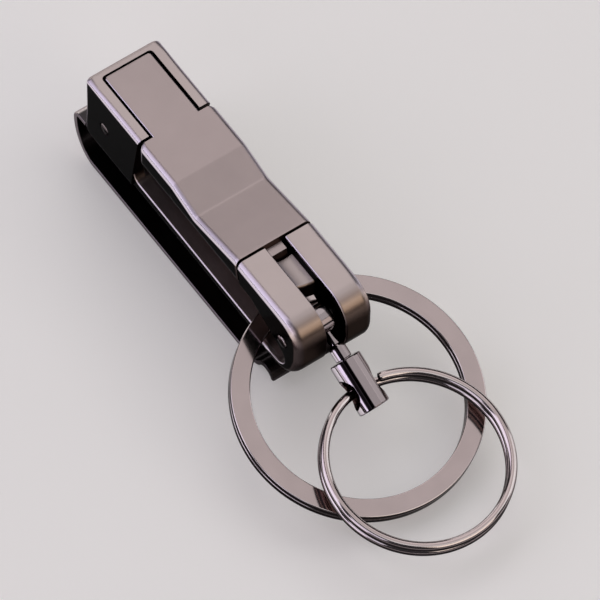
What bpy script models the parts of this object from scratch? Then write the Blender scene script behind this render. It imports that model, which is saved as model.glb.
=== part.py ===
"""Belt-clip key ring: a carabiner body with a sprung gate, a belt clip, a swivel and two split rings.

The body lies on its belt clip. +X runs from the head with the gate hinge to the forked nose and the
rings, +Y runs across and +Z points up, away from the clip. Sizes are in millimetres. Lengths along
the body are measured from the head's end, and the origin is on the clip's outer face, 20 mm on.
"""

import math

import bmesh
import bpy
import numpy as np
from mathutils import Matrix, Vector

MM = 0.001

# General
ORIGIN_FROM_HEAD = 20.0
SEAT_GAP = 0.10
PIN_CLEARANCE = 0.10
CUT_BEYOND = 2.0
HOLE_CUT_LENGTH = 30.0

# Frame casting: head, back bar and forked nose
HEAD_START = 0.15
HEAD_END = 14.0
HEAD_WIDTH = 12.8
TOP_Z = 22.0
HEAD_WALL = 1.95
HEAD_END_WALL = 1.3
HEAD_FLOOR_Z = 10.3
HEAD_REAR_SET_BACK = 1.8
HEAD_CORNER_RADIUS = 1.3
HEAD_TOP_CORNER_RADIUS = 0.7
BAR_BOTTOM_Z = 8.35
BAR_TOP_AT_HEAD = 10.1
BAR_TOP_AT_NOSE = 9.6
BAR_WIDTH = 12.3
BAR_FILLET_RADIUS = 1.6
BAR_EDGE_RADIUS = 0.5
BAR_INTO_HEAD = 1.5
BAR_INTO_NOSE = 1.0
BAR_FILLET_FORWARD = 0.2
NOSE_FRONT = 55.35
NOSE_TOP_RADIUS = 4.5
NOSE_LOW_RADIUS = 6.7
NOSE_TOP_FALL = 0.1
FORK_WIDTH = 13.6
FORK_START = 46.0
LUG_UNDER_Z = 17.5
LUG_UNDER_END = 43.2
LUG_UNDER_RISE = 0.05
LOOP_END_RADIUS = 2.2
LOOP_END_SET_BACK = 3.55
SLOT_WIDTH = 3.5
SLOT_FLOOR_Z = 11.0
BRIDGE_GAP = 0.3
BRIDGE_END = 46.9
BRIDGE_TOP_Z = 20.1
RIM_RADIUS = 1.0

# Gate lever and its pin
GATE_PIN_X = 5.1
GATE_PIN_Z = 14.5
GATE_PIN_RADIUS = 1.0
PIN_PROUD = 0.3
PIN_DOME = 0.3
TONGUE_GAP = 0.36
TONGUE_END_GAP = 0.28
SHOULDER_X = 14.5
GATE_WIDTH = 13.3
GATE_UNDER_Z = 17.4
SHOULDER_RAMP = (3.0, 1.2)
RAMP_START = 22.85
RAMP_END = 28.75
RAMP_LOW_Z = 20.45
SEAM_TOP_X = 39.25
SEAM_TOP_Z = 22.1
SEAM_GAP = 0.38
SEAM_STEPS = 4
NOSE_BLOCK_WIDTH = 2.8
NOSE_BLOCK_LENGTH = 1.42
NOSE_BLOCK_TOP_Z = 21.05
NOSE_BLOCK_UNDER_Z = 18.4

# Gate spring
SPRING_WIRE = 0.6
SPRING_MEAN_RADIUS = 1.75
SPRING_PITCH = 1.05
SPRING_TURNS = 2.5
SPRING_SLOT_WIDTH = 4.0
SPRING_SLOT_TOP_Z = 17.7
SPRING_LEG_REACH = 4.6
SPRING_SLOT_END_GAP = 0.8
POINTS_PER_TURN = 10

# Belt clip strip and its rivets
STRIP_THICKNESS = 0.8
STRIP_WIDTH = 12.5
STRIP_TONGUE_WIDTH = 8.6
STRIP_TOP_Z = 9.4
STRIP_TONGUE_END = 13.2
STRIP_NECK_GAP = 0.2
STRIP_NECK_LENGTH = 0.2
STRIP_BEND_X = -3.4
STRIP_BEND_TOP_RADIUS = 1.6
STRIP_LEG_START = 1.7
STRIP_LEG_END = 42.6
STRIP_LIP_RADIUS = 3.0
STRIP_LIP_TURN_DEG = 60.0
STRIP_ROLL_RADIUS = 1.5
POCKET_WIDTH = 9.0
POCKET_END_GAP = 0.5
RIVET_RADIUS = 1.0
RIVET_HEAD_RADIUS = 1.9
RIVET_HEAD_HEIGHT = 0.55
RIVET_HEAD_EDGE = 0.15
RIVET_SUNK = 0.05
RIVET_PLACES = (5.6, 10.6)

# Swivel: cross pin, eye with stem, barrel
CROSS_PIN_X = 51.2
CROSS_PIN_Z = 16.1
CROSS_PIN_RADIUS = 1.1
SWIVEL_DOWN_DEG = 28.5
SWIVEL_YAW_DEG = 2.6
EYE_RADIUS = 2.3
EYE_WIDTH = 2.8
STEM_RADIUS = 1.3
STEM_LENGTH = 6.7
STEM_SHOULDER_START = 4.2
STEM_SHOULDER_END = 5.0
NECK_RADIUS = 0.8
NECK_START = 1.2
SHANK_RADIUS = 0.95
BARREL_RADIUS = 2.5
BARREL_LENGTH = 8.3
BARREL_EDGE = 0.25
BARREL_TOP_WALL = 2.5
BARREL_HOLE_RADIUS = 1.8
BARREL_HOLE_CENTRES = (4.4, 5.3)
SHANK_HEAD_RADIUS = 1.25
SHANK_HEAD_HEIGHT = 0.6
SHANK_HEAD_GAP = 0.15

# Split rings
LARGE_RING_OUTER = 38.0
LARGE_RING_RADIAL = 2.95
LARGE_RING_TURN = 1.1
LARGE_RING_SPACE = 0.08
LARGE_RING_CENTRE = (60.91, 0.07, 7.42)
LARGE_RING_TILT_DEG = 14.16
LARGE_RING_ROLL_DEG = -2.31
LARGE_RING_CLIMB = (158.0, 190.0)
SMALL_RING_OUTER = 29.1
SMALL_RING_WIRE = 1.5
SMALL_RING_SPACE = 0.08
SMALL_RING_CENTRE = (74.87, 0.85, 7.8)
SMALL_RING_TILT_DEG = 11.0
SMALL_RING_ROLL_DEG = -2.18
SMALL_RING_CLIMB = (166.0, 206.0)

GUNMETAL = "A89896"
DARK_NICKEL = "8F8683"
SPRING_STEEL = "6E6A6A"
BRIGHT_NICKEL = "B5A6A5"


def clear_scene() -> None:
    """Remove every object that the scene starts with."""
    for obj in list(bpy.data.objects):
        bpy.data.objects.remove(obj, do_unlink=True)


def new_collection(name: str) -> bpy.types.Collection:
    """Make a collection and link it to the scene."""
    collection = bpy.data.collections.new(name)
    bpy.context.scene.collection.children.link(collection)
    return collection


def linear(hex_colour: str) -> tuple[float, float, float, float]:
    """Turn an sRGB hex colour into the linear values that a material takes."""
    parts = [int(hex_colour[i:i + 2], 16) / 255.0 for i in (0, 2, 4)]
    values = [c / 12.92 if c <= 0.04045 else ((c + 0.055) / 1.055) ** 2.4 for c in parts]
    return (*values, 1.0)


def metal(name: str, hex_colour: str, roughness: float) -> bpy.types.Material:
    """Make one plated metal finish."""
    material = bpy.data.materials.new(name)
    material.use_nodes = True
    shader = material.node_tree.nodes["Principled BSDF"]
    shader.inputs["Base Color"].default_value = linear(hex_colour)
    shader.inputs["Metallic"].default_value = 1.0
    shader.inputs["Roughness"].default_value = roughness
    material.diffuse_color = linear(hex_colour)
    return material


def arc(centre: tuple[float, float], radius: float, start: float, end: float, steps: int) -> list:
    """Points along an arc in the X-Z plane, angles in degrees from +X towards +Z."""
    angles = [math.radians(start + (end - start) * i / steps) for i in range(steps + 1)]
    return [(centre[0] + radius * math.cos(a), centre[1] + radius * math.sin(a)) for a in angles]


class Bench:
    """Holds the collections, the datum that the pieces hang on, and the tools that make them."""

    def __init__(self) -> None:
        self.parts = new_collection("belt_clip_key_ring")
        self.cutters = new_collection("cutters")
        self.datum = bpy.data.objects.new("body_datum", None)
        self.datum.location = (-ORIGIN_FROM_HEAD * MM, 0.0, 0.0)
        self.parts.objects.link(self.datum)

    def place(self, obj: bpy.types.Object, origin=(0.0, 0.0, 0.0)) -> bpy.types.Object:
        """Hang an object on the datum and move its origin to a point given in body millimetres."""
        self.parts.objects.link(obj)
        obj.parent = self.datum
        point = Vector(origin) * MM
        obj.data.transform(Matrix.Translation(-point))
        obj.location = point
        return obj

    def cutter(self, obj: bpy.types.Object) -> bpy.types.Object:
        """File an object as a cutter: drawn as wire and left out of the model."""
        self.cutters.objects.link(obj)
        obj.parent = self.datum
        obj.hide_render = True
        obj.display_type = 'WIRE'
        return obj

    def combine(self, obj: bpy.types.Object, tool: bpy.types.Object, operation: str) -> None:
        """Add a Boolean modifier that joins one tool to the object, or keeps what both share."""
        self.cutter(tool)
        modifier = obj.modifiers.new(tool.name, 'BOOLEAN')
        modifier.operation = operation
        modifier.object = tool
        modifier.solver = 'EXACT'

    def cut(self, obj: bpy.types.Object, tools: list) -> None:
        """Cut the object with a group of tools in one step."""
        group = bpy.data.collections.new(obj.name + "_cutters")
        self.cutters.children.link(group)
        for tool in tools:
            self.cutter(tool)
            group.objects.link(tool)
        modifier = obj.modifiers.new("cuts", 'BOOLEAN')
        modifier.operation = 'DIFFERENCE'
        modifier.operand_type = 'COLLECTION'
        modifier.collection = group
        modifier.solver = 'EXACT'


def mesh_of(curve_object: bpy.types.Object) -> bpy.types.Mesh:
    """Turn a curve into a closed mesh with welded caps and flat faces joined."""
    bpy.context.scene.collection.objects.link(curve_object)
    bpy.context.view_layer.update()
    evaluated = curve_object.evaluated_get(bpy.context.evaluated_depsgraph_get())
    mesh = bpy.data.meshes.new_from_object(evaluated)
    bpy.data.objects.remove(curve_object, do_unlink=True)
    work = bmesh.new()
    work.from_mesh(mesh)
    bmesh.ops.remove_doubles(work, verts=work.verts, dist=0.000002)
    bmesh.ops.dissolve_limit(work, angle_limit=math.radians(0.5), verts=work.verts, edges=work.edges)
    bmesh.ops.recalc_face_normals(work, faces=work.faces)
    work.to_mesh(mesh)
    work.free()
    return mesh


def plate(name: str, outline: list, width: float) -> bpy.types.Object:
    """A solid with a closed X-Z outline and a width across Y, centred on y = 0."""
    curve = bpy.data.curves.new(name, 'CURVE')
    curve.dimensions = '2D'
    curve.fill_mode = 'BOTH'
    curve.extrude = width * MM / 2
    spline = curve.splines.new('POLY')
    spline.points.add(len(outline) - 1)
    for point, (x, z) in zip(spline.points, outline):
        point.co = (x * MM, z * MM, 0.0, 1.0)
    spline.use_cyclic_u = True
    mesh = mesh_of(bpy.data.objects.new(name, curve))
    mesh.transform(Matrix.Rotation(math.radians(90.0), 4, 'X'))
    return bpy.data.objects.new(name, mesh)


def block(name: str, low: tuple, high: tuple) -> bpy.types.Object:
    """An upright box between two corners."""
    size = Vector(high) - Vector(low)
    middle = (Vector(high) + Vector(low)) / 2
    work = bmesh.new()
    bmesh.ops.create_cube(work, size=1.0)
    bmesh.ops.scale(work, vec=size * MM, verts=work.verts)
    bmesh.ops.translate(work, vec=middle * MM, verts=work.verts)
    mesh = bpy.data.meshes.new(name)
    work.to_mesh(mesh)
    work.free()
    return bpy.data.objects.new(name, mesh)


def rod(name: str, centre: tuple, radius: float, length: float, axis: str, sides: int = 32):
    """A round bar along X, Y or Z, centred on a point."""
    work = bmesh.new()
    bmesh.ops.create_cone(work, cap_ends=True, segments=sides, radius1=radius * MM,
                          radius2=radius * MM, depth=length * MM)
    turn = {'X': Matrix.Rotation(math.radians(90.0), 4, 'Y'),
            'Y': Matrix.Rotation(math.radians(90.0), 4, 'X'),
            'Z': Matrix.Identity(4)}[axis]
    bmesh.ops.transform(work, matrix=Matrix.Translation(Vector(centre) * MM) @ turn, verts=work.verts)
    mesh = bpy.data.meshes.new(name)
    work.to_mesh(mesh)
    work.free()
    return bpy.data.objects.new(name, mesh)


def turned(name: str, profile: list, sides: int = 32) -> bpy.types.Object:
    """A turned solid about local Z: (radius, height) pairs that run down the outer side."""
    mesh = bpy.data.meshes.new(name)
    points = [(radius * MM, 0.0, height * MM) for radius, height in profile]
    mesh.from_pydata(points, [(i, i + 1) for i in range(len(points) - 1)], [])
    obj = bpy.data.objects.new(name, mesh)
    screw = obj.modifiers.new("turn", 'SCREW')
    screw.axis = 'Z'
    screw.steps = sides
    screw.render_steps = sides
    screw.use_merge_vertices = True
    screw.merge_threshold = 0.000001
    return obj


def round_edges(obj: bpy.types.Object, radius: float, segments: int = 3, above: float = 45.0) -> None:
    """Round every edge sharper than an angle."""
    bevel = obj.modifiers.new("edges", 'BEVEL')
    bevel.width = radius * MM
    bevel.segments = segments
    bevel.limit_method = 'ANGLE'
    bevel.angle_limit = math.radians(above)


def round_rims(obj: bpy.types.Object, radius: float, along: list, segments: int = 3) -> None:
    """Round the edges of a plate's two sides between the given outline points, and leave the rest crisp."""
    places = np.array(along)
    weights = obj.data.attributes.new("bevel_weight_edge", 'FLOAT', 'EDGE')
    for edge in obj.data.edges:
        ends = [np.array(obj.data.vertices[index].co) / MM for index in edge.vertices]
        chosen = all(np.abs(places - end[[0, 2]]).max(axis=1).min() < 0.01 for end in ends)
        weights.data[edge.index].value = 1.0 if chosen and ends[0][1] * ends[1][1] > 0.0 else 0.0
    bevel = obj.modifiers.new("rims", 'BEVEL')
    bevel.width = radius * MM
    bevel.segments = segments
    bevel.limit_method = 'WEIGHT'


def finish_mesh(obj: bpy.types.Object, material: bpy.types.Material) -> None:
    """Give a piece its material and smooth shading with sharp corners."""
    obj.data.materials.append(material)
    obj.data.shade_smooth()
    obj.data.set_sharp_from_angle(angle=math.radians(35.0))


def seam_arc(radius: float, high_z: float, low_z: float, steps: int) -> list:
    """Points of an arc about the gate pin, from one height down to another."""
    heights = [high_z + (low_z - high_z) * i / steps for i in range(steps + 1)]
    return [(GATE_PIN_X + math.sqrt(radius ** 2 - (z - GATE_PIN_Z) ** 2), z) for z in heights]


def gate_end_radius() -> float:
    """Distance from the gate pin to the gate's free end."""
    return math.hypot(SEAM_TOP_X - GATE_PIN_X, SEAM_TOP_Z - GATE_PIN_Z)


def nose_block_radius() -> float:
    """Distance from the gate pin to the front of the block that enters the fork."""
    return gate_end_radius() + NOSE_BLOCK_LENGTH


def fork_slot_outline() -> list:
    """The slot down the fork: open above and ahead, over the bridge, which starts with an arc."""
    high = TOP_Z + CUT_BEYOND
    low = LUG_UNDER_Z - CUT_BEYOND
    behind = SEAM_TOP_X - CUT_BEYOND
    ahead = NOSE_FRONT + CUT_BEYOND
    outline = [(behind, low), (behind, high), (ahead, high), (ahead, SLOT_FLOOR_Z)]
    outline += [(BRIDGE_END, SLOT_FLOOR_Z), (BRIDGE_END, BRIDGE_TOP_Z)]
    return outline + seam_arc(nose_block_radius() + BRIDGE_GAP, BRIDGE_TOP_Z, low, 5)


def nose_block_outline() -> list:
    """The block on the gate's end, from inside the gate to its front arc about the gate pin."""
    behind = SEAM_TOP_X - CUT_BEYOND
    front = seam_arc(nose_block_radius(), NOSE_BLOCK_TOP_Z, NOSE_BLOCK_UNDER_Z, 4)
    return [(behind, NOSE_BLOCK_UNDER_Z), (behind, NOSE_BLOCK_TOP_Z)] + front


def head_outline() -> list:
    """The head seen from the side, with its rear face set back towards the bar."""
    corner = HEAD_CORNER_RADIUS
    low_x = HEAD_END - HEAD_REAR_SET_BACK
    outline = arc((HEAD_START + corner, BAR_BOTTOM_Z + corner), corner, 180.0, 270.0, 4)
    outline += [(low_x, BAR_BOTTOM_Z), (low_x, BAR_TOP_AT_HEAD), (HEAD_END, TOP_Z)]
    top_corner = HEAD_TOP_CORNER_RADIUS
    return outline + arc((HEAD_START + top_corner, TOP_Z - top_corner), top_corner, 90.0, 180.0, 3)


def bar_outline() -> list:
    """The back bar seen from the side, from inside the head to inside the nose."""
    fillet = BAR_FILLET_RADIUS
    start = HEAD_END - HEAD_REAR_SET_BACK - BAR_INTO_HEAD
    end = loop_end_centre()[0] + BAR_INTO_NOSE
    fillet_x = HEAD_END - HEAD_REAR_SET_BACK + fillet + BAR_FILLET_FORWARD
    outline = [(start, BAR_BOTTOM_Z), (end, BAR_BOTTOM_Z), (end, BAR_TOP_AT_NOSE)]
    outline += arc((fillet_x, BAR_TOP_AT_HEAD + fillet), fillet, -90.0, -180.0, 4)
    return outline + [(start, BAR_TOP_AT_HEAD + fillet)]


def loop_end_centre() -> tuple[float, float]:
    """Centre of the round end of the loop, inside the nose."""
    return (NOSE_FRONT - LOOP_END_SET_BACK - LOOP_END_RADIUS, BAR_TOP_AT_NOSE + LOOP_END_RADIUS)


def nose_outline() -> list:
    """The fork's outer edge seen from the side: two arcs from under the nose up to the seam."""
    low_centre = (NOSE_FRONT - NOSE_LOW_RADIUS, BAR_BOTTOM_Z + NOSE_LOW_RADIUS)
    top_centre = (NOSE_FRONT - NOSE_TOP_RADIUS, TOP_Z - NOSE_TOP_FALL - NOSE_TOP_RADIUS)
    outline = [(FORK_START, BAR_BOTTOM_Z)]
    outline += arc(low_centre, NOSE_LOW_RADIUS, -90.0, 0.0, 12)
    outline += arc(top_centre, NOSE_TOP_RADIUS, 0.0, 90.0, 10)
    return outline + lug_face()[:1]


def lug_face() -> list:
    """The lugs' faces at the seam, as an arc about the gate pin from the top down."""
    return seam_arc(gate_end_radius() + SEAM_GAP, TOP_Z, LUG_UNDER_Z, SEAM_STEPS)


def fork_outline() -> list:
    """The whole fork seen from the side: outer edge, lug faces and the loop's round end."""
    outline = nose_outline() + lug_face()[1:]
    outline += [(LUG_UNDER_END, LUG_UNDER_Z - LUG_UNDER_RISE)]
    outline += arc(loop_end_centre(), LOOP_END_RADIUS, 66.0, -90.0, 8)
    return outline + [(FORK_START, BAR_TOP_AT_NOSE)]


def make_frame(bench: Bench, material: bpy.types.Material) -> None:
    """The casting: housing for the tongue, back bar, and the fork that carries the cross pin."""
    frame = plate("frame", head_outline(), HEAD_WIDTH)
    bar = plate("frame_bar", bar_outline(), BAR_WIDTH)
    fork = plate("frame_fork", fork_outline(), FORK_WIDTH)
    round_rims(frame, RIM_RADIUS, head_outline())
    round_edges(bar, BAR_EDGE_RADIUS)
    round_rims(fork, RIM_RADIUS, nose_outline())
    bench.place(frame)
    bench.combine(frame, bar, 'UNION')
    bench.combine(frame, fork, 'UNION')
    inner = HEAD_WIDTH / 2 - HEAD_WALL
    high = TOP_Z + CUT_BEYOND
    pocket_top = STRIP_TOP_Z + SEAT_GAP
    tools = [
        block("head_cavity", (HEAD_START + HEAD_END_WALL, -inner, HEAD_FLOOR_Z),
              (HEAD_END + CUT_BEYOND, inner, high)),
        block("clip_pocket", (HEAD_START - CUT_BEYOND, -POCKET_WIDTH / 2, BAR_BOTTOM_Z - CUT_BEYOND),
              (STRIP_TONGUE_END + POCKET_END_GAP, POCKET_WIDTH / 2, pocket_top)),
        plate("fork_slot", fork_slot_outline(), SLOT_WIDTH),
        rod("gate_pin_hole", (GATE_PIN_X, 0, GATE_PIN_Z), GATE_PIN_RADIUS + PIN_CLEARANCE,
            HOLE_CUT_LENGTH, 'Y'),
        rod("cross_pin_hole", (CROSS_PIN_X, 0, CROSS_PIN_Z), CROSS_PIN_RADIUS + PIN_CLEARANCE,
            HOLE_CUT_LENGTH, 'Y'),
    ]
    for number, x in enumerate(RIVET_PLACES, 1):
        tools.append(rod(f"frame_rivet_hole_{number}", (x, 0, STRIP_TOP_Z), RIVET_RADIUS + PIN_CLEARANCE,
                         6.0, 'Z', 24))
    bench.cut(frame, tools)
    finish_mesh(frame, material)


def gate_outline() -> list:
    """The gate seen from the side: flat tongue, ramp down, rise to the seam, knuckle round the pin."""
    start = HEAD_START + HEAD_END_WALL + TONGUE_END_GAP
    knuckle = (GATE_PIN_X, GATE_PIN_Z)
    outline = [(start, TOP_Z), (start, GATE_PIN_Z)]
    outline += arc(knuckle, GATE_PIN_X - start, 190.0, 300.0, 8)
    outline += [(SHOULDER_X - SHOULDER_RAMP[0], GATE_UNDER_Z - SHOULDER_RAMP[1]), (SHOULDER_X, GATE_UNDER_Z)]
    outline += seam_arc(gate_end_radius(), GATE_UNDER_Z, SEAM_TOP_Z, SEAM_STEPS)
    outline += [(RAMP_END, RAMP_LOW_Z), (RAMP_START, TOP_Z)]
    return outline


def make_gate(bench: Bench, material: bpy.types.Material) -> None:
    """The sprung lever: its tongue lies in the head, and its free end closes the loop at the fork."""
    gate = plate("gate", gate_outline(), GATE_WIDTH)
    seam = seam_arc(gate_end_radius(), GATE_UNDER_Z, SEAM_TOP_Z, SEAM_STEPS)[1:-1]
    round_rims(gate, RIM_RADIUS, [point for point in gate_outline() if point not in seam])
    bench.place(gate, (GATE_PIN_X, 0.0, GATE_PIN_Z))
    tongue = HEAD_WIDTH / 2 - HEAD_WALL - TONGUE_GAP
    side = GATE_WIDTH
    behind = HEAD_START - CUT_BEYOND
    high = TOP_Z + CUT_BEYOND
    slot = SPRING_SLOT_WIDTH / 2
    spring_end = GATE_PIN_X + SPRING_LEG_REACH + SPRING_SLOT_END_GAP
    bench.combine(gate, plate("nose_block", nose_block_outline(), NOSE_BLOCK_WIDTH), 'UNION')
    bench.cut(gate, [
        block("tongue_side_far", (behind, tongue, 0.0), (SHOULDER_X, side, high)),
        block("tongue_side_near", (behind, -side, 0.0), (SHOULDER_X, -tongue, high)),
        block("spring_slot", (behind, -slot, HEAD_FLOOR_Z), (spring_end, slot, SPRING_SLOT_TOP_Z)),
        rod("gate_bore", (GATE_PIN_X, 0, GATE_PIN_Z), GATE_PIN_RADIUS + PIN_CLEARANCE,
            HOLE_CUT_LENGTH, 'Y'),
    ])
    finish_mesh(gate, material)


def pin_profile(radius: float, length: float, dome: float) -> list:
    """A straight pin with low domed ends, as a turned profile from top to bottom."""
    half = length / 2
    return [(0.0, half), (radius * 0.6, half - dome * 0.25), (radius, half - dome),
            (radius, -half + dome), (radius * 0.6, -half + dome * 0.25), (0.0, -half)]


def make_pins(bench: Bench, material: bpy.types.Material) -> None:
    """The gate's hinge pin in the head and the cross pin in the fork."""
    places = (("gate_pin", GATE_PIN_X, GATE_PIN_Z, GATE_PIN_RADIUS, HEAD_WIDTH),
              ("cross_pin", CROSS_PIN_X, CROSS_PIN_Z, CROSS_PIN_RADIUS, FORK_WIDTH))
    for name, x, z, radius, width in places:
        pin = turned(name, pin_profile(radius, width + PIN_PROUD, PIN_DOME))
        bench.place(pin)
        pin.location = Vector((x, 0.0, z)) * MM
        pin.rotation_euler = (math.radians(90.0), 0.0, 0.0)
        finish_mesh(pin, material)


def tangent_angle(centre: tuple, radius: float, point: tuple, side: float) -> float:
    """Angle, in degrees, of the place where a line from a point touches a circle."""
    away = math.hypot(point[0] - centre[0], point[1] - centre[1])
    heading = math.degrees(math.atan2(point[1] - centre[1], point[0] - centre[0]))
    return heading + side * math.degrees(math.acos(radius / away))


def spring_points() -> np.ndarray:
    """The torsion spring's centre line: a leg along the floor, the coils and a leg under the gate."""
    centre = (GATE_PIN_X, GATE_PIN_Z)
    half_wire = SPRING_WIRE / 2
    low_end = (GATE_PIN_X + SPRING_LEG_REACH, HEAD_FLOOR_Z + half_wire + SEAT_GAP)
    high_end = (GATE_PIN_X + SPRING_LEG_REACH, SPRING_SLOT_TOP_Z - half_wire - SEAT_GAP)
    start = tangent_angle(centre, SPRING_MEAN_RADIUS, low_end, -1.0)
    end = tangent_angle(centre, SPRING_MEAN_RADIUS, high_end, 1.0)
    sweep = (start - end) % 360.0 + 360.0 * math.floor(SPRING_TURNS)
    count = int(sweep / 360.0 * POINTS_PER_TURN)
    turns = np.linspace(0.0, 1.0, count + 1)
    angles = np.radians(start - sweep * turns)
    width = SPRING_PITCH * sweep / 360.0
    coil = np.column_stack((centre[0] + SPRING_MEAN_RADIUS * np.cos(angles),
                            width * (turns - 0.5),
                            centre[1] + SPRING_MEAN_RADIUS * np.sin(angles)))
    first = (low_end[0], -width / 2, low_end[1])
    last = (high_end[0], width / 2, high_end[1])
    return np.vstack((first, coil, last))


def wire(name: str, points: np.ndarray, radius: float, resolution: int) -> bpy.types.Object:
    """One unbroken round wire along a list of points."""
    curve = bpy.data.curves.new(name, 'CURVE')
    curve.dimensions = '3D'
    curve.bevel_depth = radius * MM
    curve.bevel_resolution = resolution
    curve.use_fill_caps = True
    spline = curve.splines.new('POLY')
    spline.points.add(len(points) - 1)
    for point, place in zip(spline.points, points):
        point.co = (*(place * MM), 1.0)
    return bpy.data.objects.new(name, curve)


def least_self_gap(points: np.ndarray, wire_width: float, skip: int) -> float:
    """Least space between stretches of one wire, over pairs at least some points apart."""
    spans = np.linalg.norm(points[:, None, :] - points[None, :, :], axis=2)
    index = np.arange(len(points))
    apart = np.abs(index[:, None] - index[None, :]) >= skip
    return float(spans[apart].min() - wire_width)


def make_gate_spring(bench: Bench, material: bpy.types.Material) -> None:
    """The torsion spring round the gate pin."""
    points = spring_points()
    print("gate spring least gap to itself, mm:",
          round(least_self_gap(points, SPRING_WIRE, POINTS_PER_TURN // 2), 3))
    spring = bpy.data.objects.new("gate_spring", mesh_of(wire("gate_spring", points, SPRING_WIRE / 2, 1)))
    bench.place(spring, (GATE_PIN_X, 0.0, GATE_PIN_Z))
    finish_mesh(spring, material)


def strip_path() -> list:
    """The belt clip's outer face from the tongue in the head, round the bend, to the rolled lip."""
    bend = STRIP_BEND_TOP_RADIUS
    neck = HEAD_START - STRIP_NECK_GAP
    path = [(STRIP_TONGUE_END, STRIP_TOP_Z), (neck, STRIP_TOP_Z), (neck - STRIP_NECK_LENGTH, STRIP_TOP_Z)]
    path += arc((STRIP_BEND_X + bend, STRIP_TOP_Z - bend), bend, 90.0, 180.0, 5)
    drop = STRIP_TOP_Z - bend
    reach = STRIP_LEG_START - STRIP_BEND_X
    for step in range(1, 10):
        angle = math.radians(10.0 * step)
        path.append((STRIP_LEG_START - reach * math.cos(angle), drop - drop * math.sin(angle)))
    turn = STRIP_LIP_TURN_DEG
    path += arc((STRIP_LEG_END, STRIP_LIP_RADIUS), STRIP_LIP_RADIUS, -90.0, -90.0 + turn, 4)
    end_x, end_z = path[-1]
    roll = (end_x + STRIP_ROLL_RADIUS * math.sin(math.radians(turn)),
            end_z - STRIP_ROLL_RADIUS * math.cos(math.radians(turn)))
    path += arc(roll, STRIP_ROLL_RADIUS, 90.0 + turn, 20.0, 6)[1:]
    return path


def make_belt_clip(bench: Bench, material: bpy.types.Material) -> None:
    """The spring-steel strip: a ribbon along the path, thickened inwards, with a narrower tongue."""
    curve = bpy.data.curves.new("belt_clip", 'CURVE')
    curve.dimensions = '2D'
    curve.fill_mode = 'NONE'
    curve.extrude = STRIP_WIDTH * MM / 2
    path = strip_path()
    spline = curve.splines.new('POLY')
    spline.points.add(len(path) - 1)
    for point, (x, z) in zip(spline.points, path):
        point.co = (x * MM, z * MM, 0.0, 1.0)
    ribbon = bpy.data.objects.new("belt_clip", curve)
    bpy.context.scene.collection.objects.link(ribbon)
    bpy.context.view_layer.update()
    mesh = bpy.data.meshes.new_from_object(ribbon.evaluated_get(bpy.context.evaluated_depsgraph_get()))
    bpy.data.objects.remove(ribbon, do_unlink=True)
    mesh.transform(Matrix.Rotation(math.radians(90.0), 4, 'X'))
    neck_end = HEAD_START - STRIP_NECK_GAP - STRIP_NECK_LENGTH / 2
    for vertex in mesh.vertices:
        if vertex.co.z > (STRIP_TOP_Z - 0.01) * MM and vertex.co.x > neck_end * MM:
            vertex.co.y = math.copysign(STRIP_TONGUE_WIDTH * MM / 2, vertex.co.y)
    strip = bench.place(bpy.data.objects.new("belt_clip", mesh))
    solidify = strip.modifiers.new("sheet", 'SOLIDIFY')
    solidify.thickness = STRIP_THICKNESS * MM
    solidify.offset = 1.0
    solidify.use_even_offset = True
    hole = RIVET_RADIUS + PIN_CLEARANCE
    bench.cut(strip, [rod(f"strip_rivet_hole_{number}", (x, 0, STRIP_TOP_Z), hole, 6.0, 'Z', 24)
                      for number, x in enumerate(RIVET_PLACES, 1)])
    finish_mesh(strip, material)


def make_rivets(bench: Bench, material: bpy.types.Material) -> None:
    """Two rivets that hold the strip's tongue up against the head's floor."""
    strip_under = STRIP_TOP_Z - STRIP_THICKNESS
    head_top = strip_under - SEAT_GAP
    head_low = head_top - RIVET_HEAD_HEIGHT
    top = HEAD_FLOOR_Z - RIVET_SUNK
    profile = [(0.0, top), (RIVET_RADIUS, top), (RIVET_RADIUS, head_top), (RIVET_HEAD_RADIUS, head_top),
               (RIVET_HEAD_RADIUS * 0.85, head_low + RIVET_HEAD_EDGE), (RIVET_HEAD_RADIUS * 0.5, head_low),
               (0.0, head_low)]
    for number, x in enumerate(RIVET_PLACES, 1):
        rivet = bench.place(turned(f"clip_rivet_{number}", profile, 24))
        rivet.location = Vector((x, 0.0, 0.0)) * MM
        finish_mesh(rivet, material)


def swivel_turn() -> Matrix:
    """Turn that lays local +X along the swivel's axis, down from the cross pin and a little aside."""
    return (Matrix.Rotation(math.radians(SWIVEL_YAW_DEG), 4, 'Z')
            @ Matrix.Rotation(math.radians(SWIVEL_DOWN_DEG), 4, 'Y'))


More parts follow.
